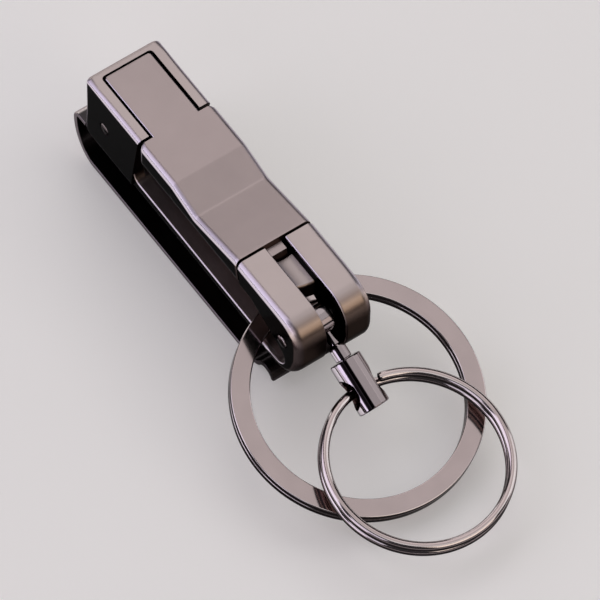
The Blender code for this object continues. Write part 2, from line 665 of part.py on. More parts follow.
def make_swivel_eye(bench: Bench, material: bpy.types.Material) -> None:
    """Eye on the cross pin, with a stem, a shank through the barrel's top wall and a peened head."""
    wall_end = STEM_LENGTH + SEAT_GAP + BARREL_TOP_WALL
    head_start = wall_end + SEAT_GAP
    head_end = head_start + SHANK_HEAD_HEIGHT
    drop = STEM_SHOULDER_END - STEM_SHOULDER_START
    slopes = [math.radians(22.5 * step) for step in range(5)]
    shoulder = [(NECK_RADIUS + (STEM_RADIUS - NECK_RADIUS) * math.cos(a),
                 STEM_SHOULDER_END - drop * math.sin(a)) for a in slopes]
    profile = [(0.0, head_end), (SHANK_HEAD_RADIUS * 0.8, head_end), (SHANK_HEAD_RADIUS, head_start + 0.2),
               (SHANK_HEAD_RADIUS, head_start), (SHANK_RADIUS, head_start), (SHANK_RADIUS, STEM_LENGTH),
               (STEM_RADIUS, STEM_LENGTH)] + shoulder + [(NECK_RADIUS, NECK_START), (0.0, NECK_START)]
    stem = turned("swivel_eye", profile, 24)
    bench.place(stem)
    stem.location = Vector((CROSS_PIN_X, 0.0, CROSS_PIN_Z)) * MM
    stem.rotation_euler = (swivel_turn() @ Matrix.Rotation(math.radians(90.0), 4, 'Y')).to_euler()
    eye = rod("eye_disc", (0, 0, 0), EYE_RADIUS, EYE_WIDTH, 'Y')
    hole = rod("eye_hole", (0, 0, 0), CROSS_PIN_RADIUS + 1.5 * PIN_CLEARANCE, 12.0, 'Y')
    for tool in (eye, hole):
        tool.location = stem.location
        tool.rotation_euler = swivel_turn().to_euler()
    bench.combine(stem, eye, 'UNION')
    bench.cut(stem, [hole])
    finish_mesh(stem, material)


def barrel_hole_outline() -> list:
    """The ring hole seen along local Y: a slot with round ends."""
    near, far = BARREL_HOLE_CENTRES
    return (arc((near, 0.0), BARREL_HOLE_RADIUS, 90.0, 270.0, 10)
            + arc((far, 0.0), BARREL_HOLE_RADIUS, -90.0, 90.0, 10))


def make_barrel(bench: Bench, material: bpy.types.Material) -> None:
    """The barrel that turns on the shank, with a cross hole for the small ring."""
    edge = BARREL_EDGE
    profile = [(0.0, BARREL_LENGTH), (BARREL_RADIUS - edge, BARREL_LENGTH),
               (BARREL_RADIUS, BARREL_LENGTH - edge), (BARREL_RADIUS, edge), (BARREL_RADIUS - edge, 0.0),
               (0.0, 0.0)]
    barrel = bench.place(turned("barrel", profile, 32))
    start = STEM_LENGTH + SEAT_GAP
    turn = swivel_turn()
    place = Vector((CROSS_PIN_X, 0.0, CROSS_PIN_Z)) + turn.to_3x3() @ Vector((start, 0.0, 0.0))
    barrel.location = place * MM
    barrel.rotation_euler = (turn @ Matrix.Rotation(math.radians(90.0), 4, 'Y')).to_euler()
    hole_depth = BARREL_HOLE_CENTRES[0]
    tools = [
        plate("ring_hole", barrel_hole_outline(), 4 * BARREL_RADIUS),
        rod("shank_hole", (hole_depth / 2, 0, 0), SHANK_RADIUS + PIN_CLEARANCE, hole_depth + 2.0, 'X', 24),
        rod("head_hole", ((BARREL_TOP_WALL + hole_depth) / 2, 0, 0), SHANK_HEAD_RADIUS + SHANK_HEAD_GAP,
            hole_depth - BARREL_TOP_WALL, 'X', 24),
    ]
    for tool in tools:
        tool.location = barrel.location
        tool.rotation_euler = swivel_turn().to_euler()
    bench.cut(barrel, tools)
    finish_mesh(barrel, material)


def split_ring_points(radius: float, step: float, climb: tuple[float, float], per_turn: int) -> np.ndarray:
    """Centre line of a split ring: a flat lower turn, one climb, and a flat upper turn above it."""
    climb_start, climb_end = climb
    span = 720.0 - (climb_end - climb_start)
    angles = climb_end + np.linspace(0.0, span, int(span / 360.0 * per_turn) + 1)
    rise = np.clip((angles - (climb_start + 360.0)) / (climb_end - climb_start), 0.0, 1.0)
    rise = rise * rise * (3.0 - 2.0 * rise)
    turn = np.radians(angles)
    return np.column_stack((radius * np.cos(turn), radius * np.sin(turn), step * (rise - 0.5)))


def make_large_ring(bench: Bench, material: bpy.types.Material) -> None:
    """The flat split ring through the carabiner's loop."""
    radius = (LARGE_RING_OUTER - LARGE_RING_RADIAL) / 2
    points = split_ring_points(radius, LARGE_RING_TURN + LARGE_RING_SPACE, LARGE_RING_CLIMB, 60)
    section = bpy.data.curves.new("ring_section", 'CURVE')
    section.dimensions = '2D'
    corner = section.splines.new('POLY')
    corner.points.add(3)
    half_wide, half_high = LARGE_RING_RADIAL * MM / 2, LARGE_RING_TURN * MM / 2
    for point, (u, v) in zip(corner.points, ((-1, -1), (1, -1), (1, 1), (-1, 1))):
        point.co = (u * half_wide, v * half_high, 0.0, 1.0)
    corner.use_cyclic_u = True
    guide = bench.cutter(bpy.data.objects.new("ring_section", section))
    ring = wire("large_ring", points, 0.0, 0)
    ring.data.bevel_mode = 'OBJECT'
    ring.data.bevel_object = guide
    ring.data.twist_mode = 'Z_UP'
    solid = bpy.data.objects.new("large_ring", mesh_of(ring))
    bench.place(solid)
    solid.location = Vector(LARGE_RING_CENTRE) * MM
    solid.rotation_euler = ring_turn(LARGE_RING_TILT_DEG, LARGE_RING_ROLL_DEG)
    finish_mesh(solid, material)


def ring_turn(tilt: float, roll: float) -> tuple[float, float, float]:
    """Turn that tilts a ring's top face towards +X and then rolls it aside."""
    tilted = Matrix.Rotation(math.radians(tilt), 4, 'Y')
    return (tilted @ Matrix.Rotation(math.radians(roll), 4, 'X')).to_euler()


def make_small_ring(bench: Bench, material: bpy.types.Material) -> None:
    """The round-wire split ring through the barrel's hole."""
    radius = (SMALL_RING_OUTER - SMALL_RING_WIRE) / 2
    points = split_ring_points(radius, SMALL_RING_WIRE + SMALL_RING_SPACE, SMALL_RING_CLIMB, 48)
    solid = bpy.data.objects.new("small_ring", mesh_of(wire("small_ring", points, SMALL_RING_WIRE / 2, 3)))
    bench.place(solid)
    solid.location = Vector(SMALL_RING_CENTRE) * MM
    solid.rotation_euler = ring_turn(SMALL_RING_TILT_DEG, SMALL_RING_ROLL_DEG)
    finish_mesh(solid, material)


def main() -> None:
    """Build every piece in order."""
    clear_scene()
    bench = Bench()
    casting = metal("satin_gunmetal", GUNMETAL, 0.32)
    pins = metal("dark_nickel", DARK_NICKEL, 0.2)
    steel = metal("spring_steel", SPRING_STEEL, 0.25)
    bright = metal("bright_nickel", BRIGHT_NICKEL, 0.12)
    make_frame(bench, casting)
    make_gate(bench, casting)
    make_pins(bench, pins)
    make_gate_spring(bench, steel)
    make_belt_clip(bench, steel)
    make_rivets(bench, pins)
    make_swivel_eye(bench, pins)
    make_barrel(bench, pins)
    make_large_ring(bench, bright)
    make_small_ring(bench, bright)


main()
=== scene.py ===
"""Belt-clip key ring: the finished pieces, finishes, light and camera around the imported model.

Shapes are given in body millimetres: x along the body from the head's end to the rings, y across,
z up from the belt clip's outer face. One function moves them 20 mm back along x and into metres.
"""

from __future__ import annotations

import logging
import math
from dataclasses import dataclass
from enum import Enum

import bmesh
import bpy
import numpy as np
from mathutils import Matrix, Vector

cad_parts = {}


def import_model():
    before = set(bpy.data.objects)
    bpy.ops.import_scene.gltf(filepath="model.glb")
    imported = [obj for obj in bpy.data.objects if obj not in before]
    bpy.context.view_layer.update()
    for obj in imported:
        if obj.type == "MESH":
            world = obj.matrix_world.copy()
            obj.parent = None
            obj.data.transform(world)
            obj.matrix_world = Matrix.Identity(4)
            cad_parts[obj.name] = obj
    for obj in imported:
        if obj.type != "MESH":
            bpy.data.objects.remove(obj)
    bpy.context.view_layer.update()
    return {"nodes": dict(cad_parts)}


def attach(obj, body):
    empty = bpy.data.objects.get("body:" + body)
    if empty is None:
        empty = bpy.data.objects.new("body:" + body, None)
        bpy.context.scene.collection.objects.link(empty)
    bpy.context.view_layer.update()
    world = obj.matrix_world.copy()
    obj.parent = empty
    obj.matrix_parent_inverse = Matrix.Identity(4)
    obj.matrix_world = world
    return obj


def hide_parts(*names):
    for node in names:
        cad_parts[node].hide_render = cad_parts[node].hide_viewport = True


LOG = logging.getLogger("key_ring")

Solid = bpy.types.Object
Tree = bpy.types.NodeTree
Node = bpy.types.Node
Material = bpy.types.Material
Pair = tuple[float, float]
Triple = tuple[float, float, float]
Stops = tuple[tuple[float, str], ...]

MM = 0.001
ORIGIN_FROM_HEAD = 20.0
RIM_STEPS = 7
# Edges that turn more than this stay crisp when a piece is shaded smooth.
SHARP_DEG = 32.0
# The attribute with the way each face corner looks on its piece; finishes paint light and shade by it.
FACING = "facing"
# Metal seen along its surface is a little darker than white, so that the rims don't glare.
GRAZING_TINT = "B4B4B4"
# A turned profile stops this far from its axis, where a flat cap closes it.
AXIS = 0.03
# Levels of a prism along y that passes through the whole body.
THROUGH = [(-15.0, 0.0), (15.0, 0.0)]


class Body(Enum):
    """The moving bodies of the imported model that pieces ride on."""

    CASTING = "body"
    GATE = "gate"
    EYE = "eye"
    BARREL = "barrel"
    SMALL_RING = "small_ring"
    LARGE_RING = "large_ring"


class Slot(Enum):
    """The record's material slots."""

    CASTING = "casting"
    PINS = "pins"
    SPRING_STEEL = "spring_steel"
    RINGS = "rings"


class Step(Enum):
    """What is done to a solid with its tools."""

    JOIN = "UNION"
    CUT = "DIFFERENCE"


class LampSide(Enum):
    """The direction of a lamp's first side."""

    ALONG = (1.0, 0.0, 0.0)
    ACROSS = (0.0, 1.0, 0.0)


def linear(hex_colour: str) -> tuple[float, float, float, float]:
    """Turn an sRGB hex colour into linear values.

    Args:
        hex_colour: six hex digits, red first.

    Returns:
        Red, green, blue and an alpha of 1.
    """
    parts = [int(hex_colour[i:i + 2], 16) / 255.0 for i in (0, 2, 4)]
    values = [c / 12.92 if c <= 0.04045 else ((c + 0.055) / 1.055) ** 2.4 for c in parts]
    return (*values, 1.0)


def set_inputs(tree: Tree, node: Node, inputs: dict) -> None:
    """Fill a node's inputs with constants and links.

    Args:
        tree: the node tree.
        node: the node to fill.
        inputs: input names or numbers, each with a constant, an output socket, or a node whose first
            output is linked.
    """
    for key, value in inputs.items():
        source = value.outputs[0] if isinstance(value, bpy.types.Node) else value
        if isinstance(source, bpy.types.NodeSocket):
            tree.links.new(source, node.inputs[key])
        else:
            node.inputs[key].default_value = source


def add_node(tree: Tree, kind: str, settings: dict | None = None, inputs: dict | None = None) -> Node:
    """Add one node with its settings, constants and links.

    Args:
        tree: the node tree to add to.
        kind: Blender's name for the node type.
        settings: attribute names and values.
        inputs: what set_inputs takes.

    Returns:
        The new node.
    """
    node = tree.nodes.new(kind)
    for name, value in (settings or {}).items():
        setattr(node, name, value)
    set_inputs(tree, node, inputs or {})
    return node


def to_metres(points: np.ndarray) -> np.ndarray:
    """Move body millimetres to the model's frame: 20 mm back along x, then into metres."""
    return (points - np.array((ORIGIN_FROM_HEAD, 0.0, 0.0))) * MM


def arc(centre: Pair, radius: float, start: float, end: float, steps: int) -> np.ndarray:
    """Points on a circle: centre plus radius times (cos, sin) of angles spread evenly.

    Args:
        centre: (x, z) in millimetres.
        radius: in millimetres.
        start: first angle in degrees, from +x towards +z.
        end: last angle in degrees.
        steps: number of equal steps.

    Returns:
        An array of steps + 1 points.
    """
    angle = np.radians(np.linspace(start, end, steps + 1))
    return np.column_stack((centre[0] + radius * np.cos(angle), centre[1] + radius * np.sin(angle)))


def rounded(corners: list[Triple], steps: int = 5) -> np.ndarray:
    """Round the corners of a polyline.

    Each corner becomes the arc that touches both its edges: it starts a distance radius times the
    tangent of half the turn before the corner, and ends the same distance after it.

    Args:
        corners: (x, z, radius) in order round a closed outline. A radius of 0 keeps the corner.
        steps: steps in each arc.

    Returns:
        The points of the rounded outline.
    """
    places = np.array([(x, z) for x, z, _ in corners])
    before = places - np.roll(places, 1, axis=0)
    after = np.roll(places, -1, axis=0) - places
    before /= np.linalg.norm(before, axis=1)[:, None]
    after /= np.linalg.norm(after, axis=1)[:, None]
    pieces = []
    for place, into, out, (_, _, radius) in zip(places, before, after, corners):
        turn = math.atan2(into[0] * out[1] - into[1] * out[0], float(into @ out))
        if radius == 0.0 or abs(turn) < 1e-3:
            pieces.append(place[None, :])
            continue
        side = math.copysign(1.0, turn)
        start = place - into * radius * math.tan(abs(turn) / 2)
        centre = start + side * radius * np.array((-into[1], into[0]))
        first = math.degrees(math.atan2(*(start - centre)[::-1]))
        pieces.append(arc(tuple(centre), radius, first, first + math.degrees(turn), steps))
    return np.vstack(pieces)


def spaced(outline: np.ndarray, longest: float) -> np.ndarray:
    """Add evenly spaced points on the long edges of a closed outline.

    Args:
        outline: points in order.
        longest: longest edge that is left, in millimetres.

    Returns:
        The outline with points added.
    """
    following = np.roll(outline, -1, axis=0)
    counts = np.maximum(np.ceil(np.linalg.norm(following - outline, axis=1) / longest), 1).astype(int)
    start = np.repeat(outline, counts, axis=0)
    stop = np.repeat(following, counts, axis=0)
    index = np.arange(len(start)) - np.repeat(np.cumsum(counts) - counts, counts)
    share = (index / np.repeat(counts, counts))[:, None]
    return start + (stop - start) * share


def inward_mitre(outline: np.ndarray) -> np.ndarray:
    """Inward mitred normals of a closed outline.

    The normals n and m of the two edges at a point give (n + m) / (1 + n . m), which moves both
    edges in by one unit.

    Args:
        outline: points in order, either way round.

    Returns:
        One vector for each point.
    """
    following = np.roll(outline, -1, axis=0)
    edge = following - outline
    edge /= np.linalg.norm(edge, axis=1)[:, None]
    area = np.sum(outline[:, 0] * following[:, 1] - following[:, 0] * outline[:, 1])
    inward = np.column_stack((-edge[:, 1], edge[:, 0])) * math.copysign(1.0, area)
    previous = np.roll(inward, 1, axis=0)
    return (inward + previous) / (1.0 + np.sum(inward * previous, axis=1))[:, None]


def skin(name: str, points: np.ndarray) -> Solid:
    """Close a grid of points into a solid: quads between neighbouring rows and a flat cap at each end.

    The point in row i and column j has the number i * columns + j, and each row closes on itself.

    Args:
        name: the object's name.
        points: rows by columns by 3, in body millimetres.

    Returns:
        The new object, linked to the scene, with its place in its mesh and its faces outwards.
    """
    rows, columns = points.shape[:2]
    low = np.arange(rows - 1)[:, None] * columns
    high = low + columns
    column = np.arange(columns)[None, :]
    after = (column + 1) % columns
    quads = np.stack((low + column, low + after, high + after, high + column), axis=-1).reshape(-1, 4)
    caps = [np.arange(columns).tolist(), (np.arange(columns)[::-1] + (rows - 1) * columns).tolist()]
    mesh = bpy.data.meshes.new(name)
    mesh.from_pydata(to_metres(points.reshape(-1, 3)).tolist(), [], quads.tolist() + caps)
    work = bmesh.new()
    work.from_mesh(mesh)
    bmesh.ops.remove_doubles(work, verts=work.verts, dist=1e-7)
    bmesh.ops.recalc_face_normals(work, faces=work.faces)
    work.to_mesh(mesh)
    work.free()
    obj = bpy.data.objects.new(name, mesh)
    bpy.context.scene.collection.objects.link(obj)
    return obj


def plate(name: str, outline: np.ndarray, sides: Pair, low_rim: float | np.ndarray,
          high_rim: float | np.ndarray, depth: float | np.ndarray = 1.0) -> Solid:
    """A plate with a closed outline in x and z, and a round rim on each side.

    A rim is a quarter ellipse: at angle t the outline is drawn in by rim * (1 - cos t), and y is
    depth * rim * (1 - sin t) short of the side face. The outline is drawn in along its mitred normals.

    Args:
        name: the object's name.
        outline: points in order, in millimetres.
        sides: y of the low and of the high side face.
        low_rim: rim radius at the low side, for the whole outline or for each point.
        high_rim: the same at the high side.
        depth: how much further a rim reaches in y than in the outline, for all points or for each.

    Returns:
        The new object.
    """
    mitre = inward_mitre(outline)
    turn = np.radians(np.linspace(90.0, 0.0, RIM_STEPS + 1))[:, None]
    rows = []
    for outwards, face_y, rim in zip((-1.0, 1.0), sides, (low_rim, high_rim)):
        radius = np.broadcast_to(np.asarray(rim, dtype=float), (len(outline),))[None, :]
        inset = radius * (1.0 - np.cos(turn))
        y = np.broadcast_to(face_y - outwards * depth * radius * (1.0 - np.sin(turn)), inset.shape)
        xz = outline[None, :, :] + inset[:, :, None] * mitre[None, :, :]
        block = np.stack((xz[:, :, 0], y, xz[:, :, 1]), axis=-1)
        rows.append(block if outwards < 0 else block[::-1])
    return skin(name, np.concatenate(rows))


def rounded_section(half_width: np.ndarray, top: np.ndarray, bottom: np.ndarray,
                    radius: np.ndarray) -> tuple[np.ndarray, np.ndarray]:
    """Rounded rectangles, one for each station, as four quarter circles joined by straight edges.

    Args:
        half_width: half the width at each station.
        top: height of the top face.
        bottom: height of the bottom face.
        radius: corner radius.

    Returns:
        Two arrays of y and z, stations by points round the section.
    """
    quarters = [np.linspace(start, start + 90.0, RIM_STEPS + 1) for start in (0.0, 90.0, 180.0, 270.0)]
    angle = np.radians(np.concatenate(quarters))[None, :]
    sign_y = np.repeat((1.0, -1.0, -1.0, 1.0), RIM_STEPS + 1)[None, :]
    sign_z = np.repeat((1.0, 1.0, -1.0, -1.0), RIM_STEPS + 1)[None, :]
    middle = ((top + bottom) / 2)[:, None]
    half_height = ((top - bottom) / 2)[:, None]
    r = radius[:, None]
    y = sign_y * (half_width[:, None] - r) + r * np.cos(angle)
    z = middle + sign_z * (half_height - r) + r * np.sin(angle)
    return y, z


def turned(name: str, profile: np.ndarray, sides: int) -> Solid:
    """A turned piece about its own x axis: each profile point (along, radius) runs round a circle.

    Args:
        name: the object's name.
        profile: (along, radius) pairs in millimetres, from one end to the other, off the axis.
        sides: points round the circle.

    Returns:
        The new object, in body millimetres about the x axis.
    """
    angle = np.linspace(0.0, 2.0 * np.pi, sides, endpoint=False)[None, :]
    along, radius = profile[:, :1], profile[:, 1:]
    parts = np.broadcast_arrays(along, radius * np.cos(angle), radius * np.sin(angle))
    return skin(name, np.stack(parts, axis=-1))


def carried(name: str, path: np.ndarray, side: np.ndarray, up: np.ndarray, section: np.ndarray) -> Solid:
    """A section carried along a path: each point is path + u * side + v * up for (u, v) in the section.

    Args:
        name: the object's name.
        path: points along the way.
        side: vector at each point for the section's first coordinate.
        up: vector at each point for its second coordinate.
        section: closed section of (u, v) points.

    Returns:
        The new object, with flat ends.
    """
    u, v = section[None, :, :1], section[None, :, 1:]
    return skin(name, path[:, None, :] + u * side[:, None, :] + v * up[:, None, :])


def prism(name: str, outline: np.ndarray, levels: list[Pair], axis: int) -> Solid:
    """A straight or stepped prism: the outline at each level, drawn outwards along its mitred normals.

    Args:
        name: the object's name.
        outline: closed outline in the two axes across the prism, in millimetres.
        levels: (place along the axis, how far the outline grows there) from one end to the other.
        axis: 0, 1 or 2 for a prism along x, y or z.

    Returns:
        The new object, used only to cut.
    """
    place_along, grow = np.array(levels).T
    flat = outline[None, :, :] - grow[:, None, None] * inward_mitre(outline)[None, :, :]
    points = np.insert(flat, axis, 0.0, axis=2)
    points[:, :, axis] = place_along[:, None]
    return skin(name, points)


def circle(centre: Pair, radius: float, sides: int = 48, first: float = 3.0) -> np.ndarray:
    """Points round a circle from a first angle in degrees, without the first one repeated."""
    return arc(centre, radius, first, first + 360.0, sides)[:-1]


def rounded_rectangle(width: float, height: float, radius: float) -> np.ndarray:
    """A closed rectangle section with round corners, centred on its middle."""
    w, h = width / 2, height / 2
    return rounded([(w, -h, radius), (w, h, radius), (-w, h, radius), (-w, -h, radius)], 4)


def rod_across(name: str, x: float, z: float, radius: float) -> Solid:
    """A round bar along y, used only to cut."""
    return prism(name, circle((x, z), radius), THROUGH, 1)


def rod_upright(name: str, x: float, radius: float, low: float, high: float) -> Solid:
    """A round bar along z, used only to cut."""
    return prism(name, circle((x, 0.0), radius, 40), [(low, 0.0), (high, 0.0)], 2)


def combine(base: Solid, tools: list[Solid], step: Step) -> Solid:
    """Join tools to a solid, or cut them out of it, and remove the tools.

    Args:
        base: the solid.
        tools: the other solids.
        step: join or cut.

    Returns:
        The same object with its new mesh.
    """
    for tool in tools:
        modifier = base.modifiers.new("join", 'BOOLEAN')
        modifier.operation = step.value
        modifier.object = tool
        modifier.solver = 'EXACT'
    bpy.context.view_layer.update()
    evaluated = base.evaluated_get(bpy.context.evaluated_depsgraph_get())
    mesh = bpy.data.meshes.new_from_object(evaluated)
    base.modifiers.clear()
    old = base.data
    base.data = mesh
    bpy.data.meshes.remove(old)
    for tool in tools:
        bpy.data.objects.remove(tool, do_unlink=True)
    return base


def place(obj: Solid, turn: Matrix, origin: Triple) -> None:
    """Turn a mesh about body zero and move it to a point, all in its vertices.

    Args:
        obj: the piece.
        turn: the turn about body zero.
        origin: where body zero goes, in body millimetres.
    """
    zero = Vector(to_metres(np.zeros(3)))
    target = Vector(to_metres(np.array(origin)))
    obj.data.transform(Matrix.Translation(target) @ turn.to_4x4() @ Matrix.Translation(-zero))


def note_facing(mesh: bpy.types.Mesh) -> None:
    """Keep the way each face corner looks, as a vector attribute of the piece that its finish reads.

    Args:
        mesh: the piece's shaded mesh.
    """
    normals = np.empty(3 * len(mesh.loops), dtype=np.float32)
    mesh.corner_normals.foreach_get("vector", normals)
    mesh.attributes.new(FACING, 'FLOAT_VECTOR', 'CORNER').data.foreach_set("vector", normals)


def finish_piece(obj: Solid, name: str, body: Body, node: str, material: Material) -> None:
    """Shade a piece, dress it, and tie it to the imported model.

    Args:
        obj: the piece.
        name: its name.
        body: the body that it rides on.
        node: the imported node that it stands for.
        material: its finish.
    """
    obj.name = name
    obj.data.materials.clear()
    obj.data.materials.append(material)
    obj.data.shade_smooth()
    obj.data.set_sharp_from_angle(angle=math.radians(SHARP_DEG))
    note_facing(obj.data)
    weighted = obj.modifiers.new("even_normals", 'WEIGHTED_NORMAL')
    weighted.keep_sharp = True
    weighted.weight = 100
    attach(obj, body.value)
    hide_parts(node)
    LOG.info("piece %s on %s, %d faces", obj.name, body.value, len(obj.data.polygons))


def new_metal(name: str) -> tuple[Material, Tree, Node]:
    """Start a metal material.

    Args:
        name: the material's name.

    Returns:
        The material, its node tree and its shader.
    """
    material = bpy.data.materials.new(name)
    material.use_nodes = True
    shader = material.node_tree.nodes["Principled BSDF"]
    shader.inputs["Metallic"].default_value = 1.0
    shader.inputs["Specular Tint"].default_value = linear(GRAZING_TINT)
    return material, material.node_tree, shader


def facing_parts(tree: Tree) -> Node:
    """The x, y and z of the way that the surface looks on its piece, from the piece's own attribute."""
    stored = add_node(tree, "ShaderNodeAttribute", {"attribute_name": FACING, "attribute_type": 'GEOMETRY'})
    return add_node(tree, "ShaderNodeSeparateXYZ", inputs={0: stored.outputs["Vector"]})


def tinted(tree: Tree, place_on_ramp: Node, stops: Stops) -> Node:
    """A colour that follows a value from 0 to 1.

    Args:
        tree: the node tree.
        place_on_ramp: the node that gives the value.
        stops: (place, hex colour) pairs from low to high.

    Returns:
        The ramp's node.
    """
    node = add_node(tree, "ShaderNodeValToRGB", inputs={0: place_on_ramp})
    elements = node.color_ramp.elements
    elements.remove(elements[-1])
    elements[0].position = stops[0][0]
    elements[0].color = linear(stops[0][1])
    for spot, hex_colour in stops[1:]:
        elements.new(spot).color = linear(hex_colour)
    return node


def clouded(tree: Tree, colour: Node | bpy.types.NodeSocket, mask: Node, low: float, high: float) -> Node:
    """Scale a colour's brightness between two levels by a noise.

    Args:
        tree: the node tree.
        colour: the node or socket that gives the colour.
        mask: the noise.
        low: brightness where the noise is low.
        high: brightness where it is high.

    Returns:
        The node with the new colour.
    """
    level = add_node(tree, "ShaderNodeMapRange", inputs={
        "Value": mask, "From Min": 0.3, "From Max": 0.7, "To Min": low, "To Max": high})
    return add_node(tree, "ShaderNodeHueSaturation", inputs={"Value": level, "Color": colour})


def per_metre(size_mm: float) -> float:
    """The scale of a noise whose patches are about a size in millimetres."""
    return 1.0 / (size_mm * MM)


@dataclass(frozen=True)
class PlatedCasting:
    """Zinc casting, bead-blasted and plated in gunmetal nickel.

    The faces are an even satin, so they show soft shades with no clear picture. The rims carry a
    painted lavender highlight, the polished flanks are painted near black as a painted dark reflection,
    the nose is painted from a pale warm highlight to a warm brown painted shade as it leans forward,
    and the underside is painted darker as painted shade.

    Attributes:
        name: the material's name.
        face: colour of the satin faces.
        sides: painted highlight on the rims and painted dark flanks, by how far aside it looks, 0 to 1.
        nose: painted highlight and shade that multiply those, by its forward lean, from 0 upright to 1
            level.
        flat_until: how far aside the face's own colour goes.
        face_roughness: roughness of the satin faces.
        flank_roughness: roughness of the polished flanks.
        grain_mm: size of the blasted grain, drawn coarser than the real one so that it shows.
        grain_depth_mm: depth of that grain.
        smudge_mm: size of the faint smudges.
    """

    name: str
    face: str
    sides: Stops = ((0.4, "C6BAC2"), (0.62, "DAD0DC"), (0.84, "F8EEFA"), (0.978, "F8EEFA"),
                    (0.994, "101011"))
    nose: Stops = ((0.19, "FFFFFF"), (0.33, "E4DDD6"), (0.44, "FFF6E4"), (0.54, "E8DCC8"),
                   (0.63, "A89D91"), (0.74, "857C74"), (1.0, "665F59"))
    flat_until: float = 0.2
    face_roughness: float = 0.30
    flank_roughness: float = 0.16
    grain_mm: float = 0.22
    grain_depth_mm: float = 0.010
    smudge_mm: float = 7.0

    def build(self) -> Material:
        """Build the material.

        Returns:
            A material whose colour, with its painted light and shade, and whose gloss follow the direction
            that the surface faces on the piece.
        """
        material, tree, shader = new_metal(self.name)
        where = add_node(tree, "ShaderNodeTexCoord").outputs["Object"]
        facing = facing_parts(tree)
        aside = add_node(tree, "ShaderNodeMath", {"operation": 'ABSOLUTE'}, {0: facing.outputs["Y"]})
        # Painted light: a bright lavender highlight on the rims and a near-black reflection on the flanks.
        side = tinted(tree, aside, ((self.flat_until, self.face), *self.sides))
        # Painted nose light: a pale warm highlight, then a warm brown painted shade as it leans forward.
        rise = add_node(tree, "ShaderNodeMath", {"operation": 'MAXIMUM'}, {0: facing.outputs["Z"], 1: 0.05})
        lean = add_node(tree, "ShaderNodeMath", {"operation": 'ARCTAN2'}, {0: facing.outputs["X"], 1: rise})
        forward = add_node(tree, "ShaderNodeMapRange", inputs={"Value": lean, "From Max": 0.5 * math.pi})
        warm = add_node(tree, "ShaderNodeMix", {"data_type": 'RGBA', "blend_type": 'MULTIPLY'},
                        {"Factor": 1.0, 6: side, 7: tinted(tree, forward, self.nose)})
        # Painted shade: the underside is painted dimmer, as it sees only the floor close by.
        under = add_node(tree, "ShaderNodeMapRange", inputs={
            "Value": facing.outputs["Z"], "From Min": -0.15, "From Max": 0.22, "To Min": 0.3})
        painted_under_shade = add_node(tree, "ShaderNodeHueSaturation", inputs={
            "Value": under, "Color": warm.outputs[2]})
        smudge = add_node(tree, "ShaderNodeTexNoise", inputs={
            "Vector": where, "Scale": per_metre(self.smudge_mm), "Detail": 3.0})
        gloss = add_node(tree, "ShaderNodeMapRange", inputs={
            "Value": aside, "From Min": 0.6, "From Max": 0.98,
            "To Min": self.face_roughness, "To Max": self.flank_roughness})
        varied = add_node(tree, "ShaderNodeMath", {"operation": 'MULTIPLY_ADD'},
                          {0: smudge, 1: 0.08, 2: gloss})
        grain = add_node(tree, "ShaderNodeTexNoise", inputs={
            "Vector": where, "Scale": per_metre(self.grain_mm), "Detail": 2.0})
        blasted = add_node(tree, "ShaderNodeBump", inputs={
            "Strength": 0.12, "Distance": self.grain_depth_mm * MM, "Height": grain})
        set_inputs(tree, shader, {"Base Color": clouded(tree, painted_under_shade, smudge, 0.94, 1.03),
                                  "Roughness": varied, "Normal": blasted})
        return material


@dataclass(frozen=True)
class BrightPlate:
    """Steel polished to a mirror and plated with nickel, as on split rings and turned swivels.

    Up-facing metal is painted bright and the flanks are painted dark, as painted shade and dark
    reflection, with faint haze and hair-fine scratches that only widen the reflections a little.

    Attributes:
        name: the material's name.
        shades: painted light and shade by how far up the surface looks, from 0 straight down to 1 straight
            up.
        stripes: for turned pieces, painted reflection bands that multiply those, from 0 straight to the
        near side to 1 level or to the far side.
        roughness: roughness before the haze.
        scratch_mm: width of the scratches, drawn wider than the real ones so that they show.
        scratch_depth_mm: their depth.
        haze_mm: size of the haze's patches.
    """

    name: str
    shades: Stops
    stripes: Stops = ()
    roughness: float = 0.09
    scratch_mm: float = 0.12
    scratch_depth_mm: float = 0.002
    haze_mm: float = 5.0

    def build(self) -> Material:
        """Build the material.

        Returns:
            A mirror-like metal with painted light and shade: its colour follows how far up it faces and,
            for turned pieces, how far aside.
        """
        material, tree, shader = new_metal(self.name)
        where = add_node(tree, "ShaderNodeTexCoord").outputs["Object"]
        facing = facing_parts(tree)
        upward = add_node(tree, "ShaderNodeMapRange", inputs={
            "Value": facing.outputs["Z"], "From Min": -1.0, "From Max": 1.0})
        # Painted light and shade by how far up the surface faces; stripes add painted reflection bands.
        colour = tinted(tree, upward, self.shades)
        if self.stripes:
            aside = add_node(tree, "ShaderNodeMapRange", inputs={
                "Value": facing.outputs["Y"], "From Min": -1.0, "From Max": 0.0})
            striped = add_node(tree, "ShaderNodeMix", {"data_type": 'RGBA', "blend_type": 'MULTIPLY'},
                               {"Factor": 1.0, 6: colour, 7: tinted(tree, aside, self.stripes)})
            colour = striped.outputs[2]
        haze = add_node(tree, "ShaderNodeTexNoise", inputs={
            "Vector": where, "Scale": per_metre(self.haze_mm), "Detail": 2.0})
        varied = add_node(tree, "ShaderNodeMath", {"operation": 'MULTIPLY_ADD'},
                          {0: haze, 1: 0.06, 2: self.roughness})
        scratches = add_node(tree, "ShaderNodeTexNoise", inputs={
            "Vector": where, "Scale": per_metre(self.scratch_mm), "Detail": 2.0})
        scratched = add_node(tree, "ShaderNodeBump", inputs={
            "Strength": 0.05, "Distance": self.scratch_depth_mm * MM, "Height": scratches})
        set_inputs(tree, shader, {"Base Color": clouded(tree, colour, haze, 0.95, 1.03),
                                  "Roughness": varied, "Normal": scratched})
        return material


